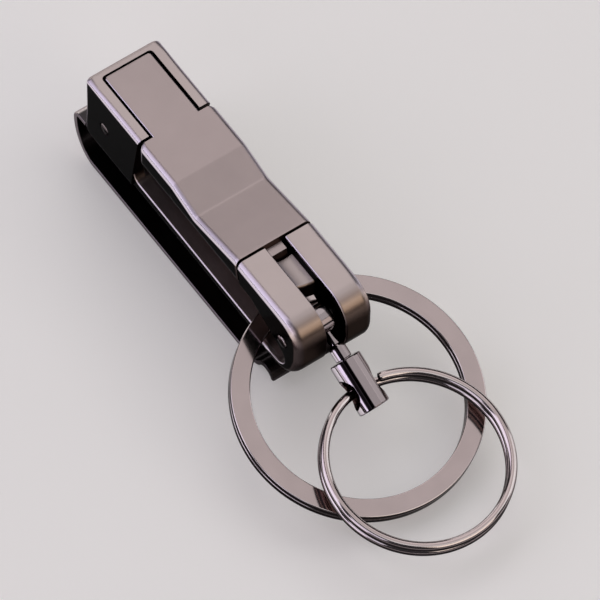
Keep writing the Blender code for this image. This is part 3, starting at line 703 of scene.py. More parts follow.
@dataclass(frozen=True)
class SpringStrip:
    """Hardened spring steel strip, tumbled and plated, painted dark as painted shade and dark reflection.

    Its cut edges and the back of its bend carry a painted highlight; it has a soft sheen along the roll.

    Attributes:
        name: the material's name.
        face: colour of the rolled faces, painted dark as painted shade and dark reflection.
        edge: painted highlight on the cut edges.
        bend: painted highlight on the back of the bend.
        bend_end: x where the bend ends, in metres.
        lip_start: x where the edges' painted highlight fades to painted shade before the lip, in metres.
        edge_fade: how far that takes, in metres.
        roughness: roughness of the whole strip.
        grain_mm: width of the rolled grain, drawn coarser than the real one so that it shows.
        grain_depth_mm: its depth.
    """

    name: str = "plated_spring_steel"
    face: str = "3C3839"
    edge: str = "8B8287"
    bend: str = "D2C6C4"
    bend_end: float = -0.019
    lip_start: float = 0.026
    edge_fade: float = 0.005
    roughness: float = 0.24
    grain_mm: float = 0.3
    grain_depth_mm: float = 0.006

    def build(self) -> Material:
        """Build the material.

        Returns:
            A dark metal with brighter cut edges and a grain drawn out along the strip.
        """
        material, tree, shader = new_metal(self.name)
        smooth = {"interpolation_type": 'SMOOTHSTEP'}
        where = add_node(tree, "ShaderNodeTexCoord").outputs["Object"]
        facing = facing_parts(tree)
        along = add_node(tree, "ShaderNodeSeparateXYZ", inputs={0: where})
        aside = add_node(tree, "ShaderNodeMath", {"operation": 'ABSOLUTE'}, {0: facing.outputs["Y"]})
        # Painted highlight on the cut edges, fading into painted shade before the lip under the fork.
        cut = add_node(tree, "ShaderNodeMapRange", smooth, {
            "Value": aside, "From Min": 0.3, "From Max": 0.8})
        clear = add_node(tree, "ShaderNodeMapRange", smooth, {
            "Value": along.outputs["X"], "From Min": self.lip_start,
            "From Max": self.lip_start - self.edge_fade})
        edge_highlight_mask = add_node(tree, "ShaderNodeMath", {"operation": 'MULTIPLY'}, {0: cut, 1: clear})
        edge_highlighted = add_node(tree, "ShaderNodeMix", {"data_type": 'RGBA'},
                         {"Factor": edge_highlight_mask, 6: linear(self.face), 7: linear(self.edge)})
        # Painted highlight on the back of the bend.
        back = add_node(tree, "ShaderNodeMapRange", smooth, {
            "Value": facing.outputs["X"], "From Min": -0.1, "From Max": -0.5})
        at_bend = add_node(tree, "ShaderNodeMath", {"operation": 'LESS_THAN'},
                           {0: along.outputs["X"], 1: self.bend_end})
        bend_highlight_mask = add_node(tree, "ShaderNodeMath", {"operation": 'MULTIPLY'}, {0: back, 1: at_bend})
        bend_highlighted = add_node(tree, "ShaderNodeMix", {"data_type": 'RGBA'},
                          {"Factor": bend_highlight_mask, 6: edge_highlighted.outputs[2], 7: linear(self.bend)})
        # The grain is drawn out twenty times along the strip, the way it was rolled.
        stretch = add_node(tree, "ShaderNodeMapping", inputs={"Vector": where, "Scale": (0.05, 1.0, 1.0)})
        grain = add_node(tree, "ShaderNodeTexNoise", inputs={
            "Vector": stretch, "Scale": per_metre(self.grain_mm), "Detail": 3.0})
        rolled = add_node(tree, "ShaderNodeBump", inputs={
            "Strength": 0.15, "Distance": self.grain_depth_mm * MM, "Height": grain})
        shader.inputs["Roughness"].default_value = self.roughness
        set_inputs(tree, shader, {"Base Color": clouded(tree, bend_highlighted.outputs[2], grain, 0.88, 1.1),
                                  "Normal": rolled})
        return material


@dataclass(frozen=True)
class Finishes:
    """Every finish on the key ring, built once."""

    frame: Material
    gate: Material
    swivel: Material
    pins: Material
    strip: Material
    rings: Material

    @classmethod
    def make(cls) -> Finishes:
        """Build all the finishes.

        Returns:
            The finishes. The gate's casting is a little darker than the frame's. The swivel has a painted
            reflection, pale at the near side with a dark band beside it. The rings' flanks are painted
            darker than their faces as painted shade, and their bevels carry a painted highlight line.
        """
        return cls(
            frame=PlatedCasting("satin_gunmetal_nickel_frame", face="B9AAA8").build(),
            gate=PlatedCasting("satin_gunmetal_nickel_gate", face="AC9C9B").build(),
            # Painted reflection: pale stripes at the near side, a dark band beside them, dark undersides.
            swivel=BrightPlate(
                "polished_nickel_swivel", shades=((0.33, "1D1A1B"), (0.55, "FFFFFF")),
                stripes=((0.1, "FFF8FF"), (0.16, "D6CAD4"), (0.33, "D6CAD4"), (0.36, "161415"),
                         (0.5, "161415"), (0.53, "3A3536"), (0.56, "161415"), (0.72, "161415"),
                         (0.75, "A69A9C")),
                roughness=0.07).build(),
            # Painted highlight on the pins' upper domes, painted dark flanks.
            pins=BrightPlate("nickel_pin", shades=((0.52, "1F1C1D"), (0.7, "B5A9AB")),
                             roughness=0.18).build(),
            strip=SpringStrip().build(),
            # Painted light: lighter undersides seen in reflections, dark flanks, a bright line at the
            # bevels.
            rings=BrightPlate(
                "polished_nickel_ring",
                shades=((0.2, "8A7874"), (0.28, "2A2627"), (0.66, "2A2627"), (0.78, "B8ABAC"),
                        (0.83, "F0E6E6"), (0.94, "E4D8D7"), (0.97, "BFAEAD")),
                roughness=0.08).build(),
        )


@dataclass(frozen=True)
class GateSizes:
    """Sizes that the gate shares with the frame and the pins, in millimetres."""

    pin_x: float = 5.1
    pin_z: float = 14.5
    pin_radius: float = 1.0
    pin_play: float = 0.1
    top: float = 22.0
    seam_x: float = 39.25
    seam_z: float = 22.1
    seam_gap: float = 0.38
    block_length: float = 1.42

    @property
    def reach(self) -> float:
        """Distance from the gate pin to the gate's free end."""
        return math.hypot(self.seam_x - self.pin_x, self.seam_z - self.pin_z)

    def seam(self, z: np.ndarray | float, gap: float = 0.0) -> np.ndarray:
        """The x of an arc about the gate pin at a height: pin x + root of (reach + gap)^2 - height^2."""
        return self.pin_x + np.sqrt((self.reach + gap) ** 2 - (np.asarray(z) - self.pin_z) ** 2)

    def bore(self) -> Solid:
        """The cutter of the pin's bore."""
        return rod_across("gate_pin_bore", self.pin_x, self.pin_z, self.pin_radius + self.pin_play)


@dataclass
class Frame:
    """The casting: square head with a cavity, back bar, and a fork with two round-nosed lugs."""

    gate: GateSizes
    # Head, with the spans of x or z over which its rims and corners change
    start: float = 0.15
    head_end: float = 14.0
    set_back: float = 1.8
    bottom: float = 8.35
    head_half: float = 6.45
    top_corner: float = 0.76
    low_corner: float = 1.3
    corner_depth: float = 1.6
    corner_blend: Pair = (1.0, 3.0)
    head_rim: float = 0.85
    end_rim: float = 0.68
    end_blend: Pair = (1.0, 6.0)
    low_rim: float = 0.4
    low_blend: Pair = (11.0, 17.0)
    # Cavity in the head, and the strip's pocket below it: end, half-width and top
    wall: float = 1.95
    end_wall: float = 1.3
    floor_z: float = 10.3
    cavity_corner: float = 0.65
    pocket: Triple = (13.7, 4.5, 9.5)
    # Back bar
    bar_half: float = 6.15
    bar_top_head: float = 10.1
    bar_top_nose: float = 9.6
    bar_rim: float = 0.22
    bar_fillet: float = 1.6
    bar_overlap: float = 1.5
    # Nose and loop
    fork_start: float = 46.0
    nose_front: float = 55.35
    nose_wall: float = 3.55
    nose_top_radius: float = 4.5
    nose_low_radius: float = 6.7
    loop_radius: float = 2.2
    # Lugs and the slot between them, with the slot's rims on the near lug and on the far one
    fork_near: float = -6.65
    fork_far: float = 6.8
    slot_low: float = -1.6
    slot_high: float = 1.85
    lug_top: float = 21.9
    lug_under: float = 17.5
    lug_under_end: float = 43.2
    lug_rim: float = 1.15
    nose_rim_growth: float = 0.3
    nose_blend: Pair = (48.5, 53.5)
    under_nose_rim: float = 0.6
    under_nose_blend: Pair = (12.5, 9.5)
    loop_rim: float = 0.2
    foot_rim: float = 0.4
    inner_rims: Pair = (0.15, 0.32)
    # Web between the lugs
    bridge_gap: float = 0.3
    bridge_end: float = 46.9
    bridge_top: float = 20.1
    bridge_front_corner: float = 0.45
    valley: float = 0.6
    valley_low: float = 0.25
    skew: float = 0.7
    # How far the lugs, the middle and the web run past what they are cut by or joined to
    seam_overrun: float = 1.2
    middle_overrun: float = 0.4
    bridge_overrun: float = 0.3
    # Places of the cross pin, (x, z), and of both rivets, x, and their holes
    cross_pin: Pair = (51.2, 16.1)
    rivets: Pair = (5.6, 10.6)
    cross_pin_radius: float = 1.1
    pin_play: float = 0.1
    rivet_hole: float = 1.1

    @property
    def rear(self) -> float:
        """The x of the arms' end where it meets the back bar."""
        return self.head_end - self.set_back

    @property
    def loop_end(self) -> Pair:
        """Centre of the loop's round end inside the nose."""
        return (self.nose_front - self.nose_wall - self.loop_radius, self.bar_top_nose + self.loop_radius)

    @property
    def low_nose(self) -> Pair:
        """Centre of the nose's lower arc."""
        return (self.nose_front - self.nose_low_radius, self.bottom + self.nose_low_radius)

    def head(self) -> Solid:
        """The head as a plate with round rims, cut off along the arms' sloping end.

        The rims are smaller at the closed end and low down, and the end's corners are rounder in y.

        Returns:
            The head, still without its cavity.
        """
        past = self.head_end + 2.0
        above = self.gate.top + 1.0
        outline = spaced(rounded([
            (self.start, self.gate.top, self.top_corner), (self.start, self.bottom, self.low_corner),
            (past, self.bottom, 0.0), (past, self.gate.top, 0.0)], 6), 2.0)
        x, z = outline.T
        rim = np.minimum(np.interp(x, self.end_blend, [self.end_rim, self.head_rim]),
                         np.interp(z, self.low_blend, [self.low_rim, self.head_rim]))
        depth = np.interp(x, self.corner_blend, [self.corner_depth, 1.0])
        head = plate("frame_head", outline, (-self.head_half, self.head_half), rim, rim, depth)
        slope = self.set_back / (self.gate.top - self.bar_top_head)
        beyond = np.array([(self.rear, 5.0), (past + 1.0, 5.0), (past + 1.0, above),
                           (self.head_end + slope, above), (self.rear, self.bar_top_head)])
        return combine(head, [prism("arm_end", beyond, THROUGH, 1)], Step.CUT)

    def bar(self) -> Solid:
        """The back bar, with a small fillet up to the head.

        Returns:
            The bar, which runs into the head and into the nose.
        """
        rear, end = self.rear, self.loop_end[0] + 1.0
        inside, fillet_x, high = rear - self.bar_overlap, rear + 0.2, self.bar_top_head + self.bar_fillet
        outline = rounded([
            (inside, self.bottom, 0.0), (end, self.bottom, 0.0), (end, self.bar_top_nose, 0.0),
            (fillet_x, self.bar_top_head, self.bar_fillet), (fillet_x, high, 0.0), (inside, high, 0.0)], 6)
        sides = (-self.bar_half, self.bar_half)
        return plate("frame_bar", spaced(outline, 4.0), sides, self.bar_rim, self.bar_rim)

    def lug_outline(self) -> np.ndarray:
        """The fork from the side, drawn past the seam.

        Returns:
            Points along the lower and upper arc of the nose, the top and the loop's round end.
        """
        high = (self.nose_front - self.nose_top_radius, self.lug_top - self.nose_top_radius)
        past = float(self.gate.seam(self.gate.top, self.gate.seam_gap)) - self.seam_overrun
        return spaced(np.vstack((
            [(self.fork_start, self.bar_top_nose), (self.fork_start, self.bottom)],
            arc(self.low_nose, self.nose_low_radius, -90.0, 0.0, 26),
            arc(high, self.nose_top_radius, 0.0, 90.0, 24),
            [(past, self.gate.top), (past, self.lug_under), (self.lug_under_end, self.lug_under - 0.05)],
            arc(self.loop_end, self.loop_radius, 66.0, -90.0, 18))), 1.5)

    def seam_cutter(self) -> Solid:
        """What the gate's free end clears as it swings.

        Returns:
            The cutter: everything inside an arc about the gate pin.
        """
        heights = np.linspace(self.lug_under - 1.5, self.gate.top + 1.5, 16)
        face = np.column_stack((self.gate.seam(heights, self.gate.seam_gap), heights))
        behind = face[0, 0] - 4.0
        return prism("seam", np.vstack((face, [(behind, heights[-1]), (behind, heights[0])])), THROUGH, 1)

    def outer_rim(self, outline: np.ndarray) -> np.ndarray:
        """Rim radius on a lug's outer side: full along the top and round the nose, small in the loop.

        Args:
            outline: the lug's outline.

        Returns:
            A radius for each point. It grows over the nose by a smooth step and shrinks below it.
        """
        x, z = outline.T
        nose_start, nose_end = self.nose_blend
        under_start, under_end = self.under_nose_blend
        nose = np.clip((x - nose_start) / (nose_end - nose_start), 0.0, 1.0)
        under = np.clip((under_start - z) / (under_start - under_end), 0.0, 1.0)
        rim = self.lug_rim + self.nose_rim_growth * nose * nose * (3.0 - 2.0 * nose)
        rim = rim + (self.under_nose_rim - rim) * under
        over_bar = z > self.bar_top_nose + 0.1
        at_round_end = np.hypot(x - self.loop_end[0], z - self.loop_end[1]) < self.loop_radius + 0.4
        under_lug = (z < self.lug_under + 0.1) & (x < self.loop_end[0]) & over_bar
        rim = np.where(at_round_end | under_lug, self.loop_rim, rim)
        return np.where((x < self.bridge_end) & ~over_bar, self.foot_rim, rim)

    def lugs(self) -> Solid:
        """Both lugs: plates with a crisp rim along the slot and a full rim outside.

        Returns:
            Both lugs as one object.
        """
        outline = self.lug_outline()
        outer = self.outer_rim(outline)
        near = plate("near_lug", outline, (self.fork_near, self.slot_low), outer, self.inner_rims[0])
        far = plate("far_lug", outline, (self.slot_high, self.fork_far), self.inner_rims[1], outer)
        return combine(near, [far], Step.JOIN)

    def middle(self) -> Solid:
        """The lower nose between the lugs, which the swivel hangs over.

        Returns:
            The solid, which runs a little into each lug.
        """
        start, over = self.fork_start + 0.2, self.middle_overrun
        outline = np.vstack(([(start, self.bar_top_nose), (start, self.bottom)],
                             arc(self.low_nose, self.nose_low_radius - 0.02, -90.0, -37.0, 14),
                             arc(self.loop_end, self.loop_radius, -20.0, -90.0, 8)))
        return plate("frame_middle", outline, (self.slot_low - over, self.slot_high + over), 0.02, 0.02)

    def bridge(self) -> Solid:
        """The recessed web between the lugs: its rear face is an arc about the gate pin.

        Its top is a shallow valley along x: z is lower by valley * (1 - d^2), with c from -1 to 1 across
        the slot and d = (c - low) / (1 + low). Its front is skewed: x is further by skew * c / 2.

        Returns:
            The solid, which runs a little into each lug.
        """
        gap = self.gate.block_length + self.bridge_gap
        under = self.lug_under + 0.05
        rear, low_rear = (float(self.gate.seam(z, gap)) for z in (self.bridge_top, under))
        x, z = rounded([(low_rear, under, 0.1), (self.bridge_end, self.lug_under - 1.6, 0.3),
                        (self.bridge_end, self.bridge_top, self.bridge_front_corner),
                        (rear, self.bridge_top, 0.12)], 6).T
        over = self.bridge_overrun
        y = np.linspace(self.slot_low - over, self.slot_high + over, 13)[:, None]
        across = np.clip(2.0 * (y - self.slot_low) / (self.slot_high - self.slot_low) - 1.0, -1.0, 1.0)
        dip = self.valley * (1.0 - ((across - self.valley_low) / (1.0 + self.valley_low)) ** 2)
        forward = x + 0.5 * self.skew * across * (x > self.bridge_end - 0.5)
        lowered = z - dip * (z > self.bridge_top - 0.5)
        return skin("frame_bridge", np.stack(np.broadcast_arrays(forward, y, lowered), axis=-1))

    def cutters(self) -> list[Solid]:
        """Everything that is cut from the casting.

        Returns:
            The cavity, the strip's pocket, the bore and the cross pin's hole, and the rivet holes.
        """
        inner, first, past = self.head_half - self.wall, self.start + self.end_wall, self.head_end + 4.0
        corner = self.cavity_corner
        hollow = rounded([(first, inner, corner), (first, -inner, corner), (past, -inner, 0.0),
                          (past, inner, 0.0)], 6)
        end, half, top = self.pocket
        pocket = np.array([(self.start - 2.0, half), (self.start - 2.0, -half), (end, -half), (end, half)])
        return [
            prism("cavity", hollow, [(self.floor_z, 0.0), (self.gate.top + 1.0, 0.0)], 2),
            prism("pocket", pocket, [(5.0, 0.0), (top, 0.0)], 2),
            self.gate.bore(),
            rod_across("cross_pin_hole", *self.cross_pin, self.cross_pin_radius + self.pin_play),
            *(rod_upright("rivet_hole", x, self.rivet_hole, 5.0, 12.0) for x in self.rivets)]

    def build(self, finishes: Finishes) -> None:
        """Join the solids, cut the hollows and dress the casting.

        Args:
            finishes: the key ring's finishes.
        """
        fork = combine(self.lugs(), [self.seam_cutter()], Step.CUT)
        fork = combine(fork, [self.middle(), self.bridge()], Step.JOIN)
        casting = combine(self.head(), [self.bar()], Step.JOIN)
        casting = combine(casting, [fork], Step.JOIN)
        casting = combine(casting, self.cutters(), Step.CUT)
        finish_piece(casting, "casting", Body.CASTING, "frame", finishes.frame)


@dataclass
class Gate:
    """The sprung lever: tongue, shoulder, flat, ramp, rise and a seam that is an arc about the pin."""

    sizes: GateSizes
    # Tongue inside the head
    start: float = 1.73
    tongue_half: float = 4.09
    tongue_rim: float = 0.25
    tongue_corner: float = 0.5
    # Lever and the ramp on its top
    shoulder: float = 14.5
    shoulder_corner: float = 0.85
    half: float = 6.65
    rim: float = 1.05
    ramp_start: float = 22.85
    ramp_end: float = 28.75
    ramp_low: float = 20.45
    crease: float = 0.25
    # Underside
    underside: float = 17.4
    knuckle_radius: float = 3.0
    knuckle_top: float = 14.4
    slope_start: float = 1.5
    slope_end: float = 11.5
    slope_low: float = 11.9
    slope_high: float = 16.2
    # Block on the free end
    block_start: float = 36.5
    block_low: float = 18.4
    block_high: float = 21.05
    block_half: float = 1.4
    # Slot for the spring
    slot_end: float = 10.5
    slot_half: float = 2.0
    slot_top: float = 18.9

    def top(self, x: np.ndarray) -> np.ndarray:
        """Height of the top: flat, down the ramp and up to the seam.

        Args:
            x: places along the gate.

        Returns:
            Heights, averaged over a short way to both sides to round the creases.
        """
        places = [self.start, self.ramp_start, self.ramp_end, self.sizes.seam_x + 1.0]
        heights = [self.sizes.top, self.sizes.top, self.ramp_low, self.sizes.seam_z + 0.16]
        spread = np.linspace(-self.crease, self.crease, 11)
        return np.interp(x[:, None] + spread[None, :], places, heights).mean(axis=1)

    def bottom(self, x: np.ndarray) -> np.ndarray:
        """Height of the underside: a round knuckle below the pin, then a slope up to the lever's flat back.

        Args:
            x: places along the gate.

        Returns:
            Heights. The knuckle is pin z - root of (radius^2 - distance^2).
        """
        after_pin = self.sizes.pin_x + self.slope_start
        drop = np.maximum(self.knuckle_radius ** 2 - (x - self.sizes.pin_x) ** 2, 0.0)
        knuckle = self.sizes.pin_z - np.sqrt(drop)
        slope = np.interp(x, [after_pin, self.slope_end, self.shoulder],
                          [self.slope_low, self.slope_high, self.underside])
        return np.where(x < after_pin, np.minimum(knuckle, self.knuckle_top), slope)

    def stations(self) -> np.ndarray:
        """Stations along the gate.

        Returns:
            For each one: x, half-width, rim radius, how far the section is drawn in, and 1 at the seam,
            where x is counted from the arc.
        """
        quarter = np.radians(np.linspace(0.0, 90.0, 9))
        short, narrow = 1.0 - np.cos(quarter), 1.0 - np.sin(quarter)
        none = np.zeros_like(quarter)
        corner = np.column_stack((
            self.start + self.tongue_corner * short, self.tongue_half - self.tongue_corner * narrow,
            none + self.tongue_rim, self.tongue_rim * 0.6 * narrow ** 2, none))
        tongue = [(x, self.tongue_half, self.tongue_rim, 0.0, 0.0)
                  for x in np.linspace(self.start + self.tongue_corner, self.shoulder, 16)[1:]]
        shoulder = np.column_stack((
            self.shoulder + 0.01 + self.shoulder_corner * short, self.half - self.shoulder_corner * narrow,
            self.rim * (0.25 + 0.75 * np.sin(quarter)), none, none))
        # The stations are close together at the two creases of the ramp.
        spans = ((17.0, 22.4, 4), (22.6, 23.1, 6), (24.0, 28.0, 4), (28.5, 29.0, 6), (30.0, 38.4, 8))
        lever = [(x, self.half, self.rim, 0.0, 0.0) for span in spans for x in np.linspace(*span)]
        seam = [(x, self.half, self.rim, inset, 1.0)
                for x, inset in ((-0.6, 0.0), (-0.16, 0.0), (-0.05, 0.04), (0.0, 0.14))]
        return np.vstack((corner, tongue, shoulder, lever, seam))

    def lever(self) -> Solid:
        """The whole lever as rounded sections at the stations. Near the seam, x follows the arc.

        Returns:
            The lever without its bore, slot and block.
        """
        x, half, rim, inset, seam = self.stations().T
        level = np.where(seam > 0.5, self.sizes.seam_x + x, x)
        y, z = rounded_section(half - inset, self.top(level) - inset, self.bottom(level) + inset,
                               np.maximum(rim - inset, 0.05))
        along = np.where(seam[:, None] > 0.5, self.sizes.seam(z) + x[:, None], x[:, None])
        return skin("gate_lever", np.stack((along, y, z), axis=-1))

    def nose_block(self) -> Solid:
        """The small block on the free end that enters the slot between the lugs.

        Returns:
            The block, whose front is an arc about the gate pin.
        """
        heights = np.linspace(self.block_low, self.block_high, 4)
        (low_end, *middle, high_end) = self.sizes.seam(heights, self.sizes.block_length)
        outline = rounded([(self.block_start, self.block_low, 0.2), (low_end, self.block_low, 0.25),
                           *((x, z, 0.0) for x, z in zip(middle, heights[1:-1])),
                           (high_end, self.block_high, 0.0), (self.block_start, self.block_high, 0.2)], 4)
        return plate("gate_nose_block", outline, (-self.block_half, self.block_half), 0.12, 0.12)

    def build(self, finishes: Finishes) -> None:
        """Join the block, cut the pin's bore and the spring's slot, and dress the gate.

        Args:
            finishes: the key ring's finishes.
        """
        lever = combine(self.lever(), [self.nose_block()], Step.JOIN)
        end, half = self.slot_end, self.slot_half
        slot = np.array([(0.0, -half), (end, -half), (end, half), (0.0, half)])
        spring_slot = prism("spring_slot", slot, [(5.0, 0.0), (self.slot_top, 0.0)], 2)
        lever = combine(lever, [self.sizes.bore(), spring_slot], Step.CUT)
        finish_piece(lever, "gate_lever_arm", Body.GATE, "gate", finishes.gate)


@dataclass
class BeltClip:
    """The spring-steel strip: tongue under the head, tight bend, long flat leg and a rolled lip."""

    frame: Frame
    thickness: float = 0.8
    width: float = 12.5
    edge_radius: float = 0.2
    tongue_width: float = 8.6
    top: float = 9.4
    tongue_end: float = 13.2
    neck: float = -0.15
    neck_step: float = 0.1
    bend_x: float = -3.4
    bend_top: float = 1.6
    leg_start: float = 1.7
    leg_end: float = 42.6
    lip_radius: float = 3.0
    lip_rise: float = 60.0
    roll_radius: float = 1.5
    roll_end: float = 20.0

    def path(self) -> np.ndarray:
        """The outer face from the tongue to the lip: arcs and an ellipse quarter joined by straight runs.

        Returns:
            Points (x, z) along the strip. Two lie close together at the neck, where it narrows.
        """
        drop = self.top - self.bend_top
        reach = self.leg_start - self.bend_x
        turn = np.radians(np.linspace(0.0, 90.0, 28))[1:]
        heel = np.column_stack((self.leg_start - reach * np.cos(turn), drop - drop * np.sin(turn)))
        lip = arc((self.leg_end, self.lip_radius), self.lip_radius, -90.0, self.lip_rise - 90.0, 14)
        rise = math.radians(self.lip_rise)
        roll = lip[-1] + self.roll_radius * np.array((math.sin(rise), -math.cos(rise)))
        leg = np.column_stack((np.linspace(self.leg_start, self.leg_end, 12)[1:-1], np.zeros(10)))
        places = np.append(np.linspace(self.tongue_end, self.neck + self.neck_step, 12),
                           self.neck - self.neck_step)
        tongue = np.column_stack((places, np.full(13, self.top)))
        bend = arc((self.bend_x + self.bend_top, drop), self.bend_top, 90.0, 180.0, 12)
        return np.vstack((tongue, bend, heel, leg, lip,
                          arc(roll, self.roll_radius, self.lip_rise + 90.0, self.roll_end, 18)[1:]))

    def build(self, finishes: Finishes) -> None:
        """Carry a rounded strip section along the path. The section narrows for the tongue.

        Args:
            finishes: the key ring's finishes.
        """
        outer = self.path()
        tangent = np.gradient(outer, axis=0)
        tangent /= np.linalg.norm(tangent, axis=1)[:, None]
        inward = np.column_stack((-tangent[:, 1], tangent[:, 0]))
        path = np.insert(outer + inward * self.thickness / 2, 1, 0.0, axis=1)
        in_tongue = (outer[:, 1] > self.top - 0.01) & (outer[:, 0] > self.neck)
        width = np.where(in_tongue, self.tongue_width / self.width, 1.0)
        strip = carried("strip", path, width[:, None] * (0.0, 1.0, 0.0), np.insert(inward, 1, 0.0, axis=1),
                        rounded_rectangle(self.width, self.thickness, self.edge_radius))
        holes = [rod_upright("strip_hole", x, self.frame.rivet_hole, 7.0, 12.0) for x in self.frame.rivets]
        strip = combine(strip, holes, Step.CUT)
        finish_piece(strip, "spring_strip", Body.CASTING, "belt_clip", finishes.strip)


@dataclass
class Pins:
    """Turned pins and rivets with slightly domed ends."""

    frame: Frame
    gate_pin_half: float = 6.44
    cross_pin_half: float = 6.84
    corner: float = 0.25
    # Height of the domed end at 0.45 of the radius and in the middle
    dome: Pair = (0.06, 0.09)
    rivet_zero: float = 8.0
    rivet_seat: float = 8.5
    rivet_top: float = 10.25
    rivet_radius: float = 1.0
    head_radius: float = 1.9
    head_height: float = 0.55

    def pin(self, name: str, node: str, axis: Triple, half: float, finishes: Finishes) -> None:
        """A pin across the body: straight shank, small corner radius and a low dome at each end.

        Args:
            name: the piece's name.
            node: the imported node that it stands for.
            axis: x and z of its axis, and its radius.
            half: half its length without the domes.
            finishes: the key ring's finishes.
        """
        x, z, radius = axis
        edge = arc((half - self.corner, radius - self.corner), self.corner, 80.0, 10.0, 5)
        end = np.vstack((edge, [(half + self.dome[0], radius * 0.45), (half + self.dome[1], AXIS)]))
        pin = turned("pin", np.vstack((end[::-1] * (-1.0, 1.0), end)), 48)
        place(pin, Matrix.Rotation(math.radians(90.0), 3, 'Z'), (x, 0.0, z))
        finish_piece(pin, name, Body.CASTING, node, finishes.pins)

    def rivet(self, number: int, x: float, finishes: Finishes) -> None:
        """A rivet under the strip's tongue: low round head and a shank up through the head's floor.

        Args:
            number: 1 or 2, from the head's end.
            x: its axis.
            finishes: the key ring's finishes.
        """
        seat, top, radius = self.rivet_seat, self.rivet_top, self.rivet_radius
        dome = (seat, 0.0) + arc((0.0, 0.0), 1.0, 8.0, 90.0, 8) * (-self.head_height, self.head_radius)
        profile = np.vstack(([(seat - self.head_height, AXIS)], dome,
                             [(seat, radius), (top, radius), (top, AXIS)]))
        rivet = turned("rivet", profile - (self.rivet_zero, 0.0), 40)
        place(rivet, Matrix.Rotation(math.radians(-90.0), 3, 'Y'), (x, 0.0, self.rivet_zero))
        finish_piece(rivet, f"strip_rivet_{number}", Body.CASTING, f"clip_rivet_{number}",
                     finishes.pins)

    def build(self, finishes: Finishes) -> None:
        """Make both pins and both rivets.

        Args:
            finishes: the key ring's finishes.
        """
        gate, frame = self.frame.gate, self.frame
        hinge, fork = (gate.pin_x, gate.pin_z, gate.pin_radius), (*frame.cross_pin, frame.cross_pin_radius)
        self.pin("hinge_pin", "gate_pin", hinge, self.gate_pin_half, finishes)
        self.pin("fork_pin", "cross_pin", fork, self.cross_pin_half, finishes)
        for number, x in enumerate(frame.rivets, 1):
            self.rivet(number, x, finishes)


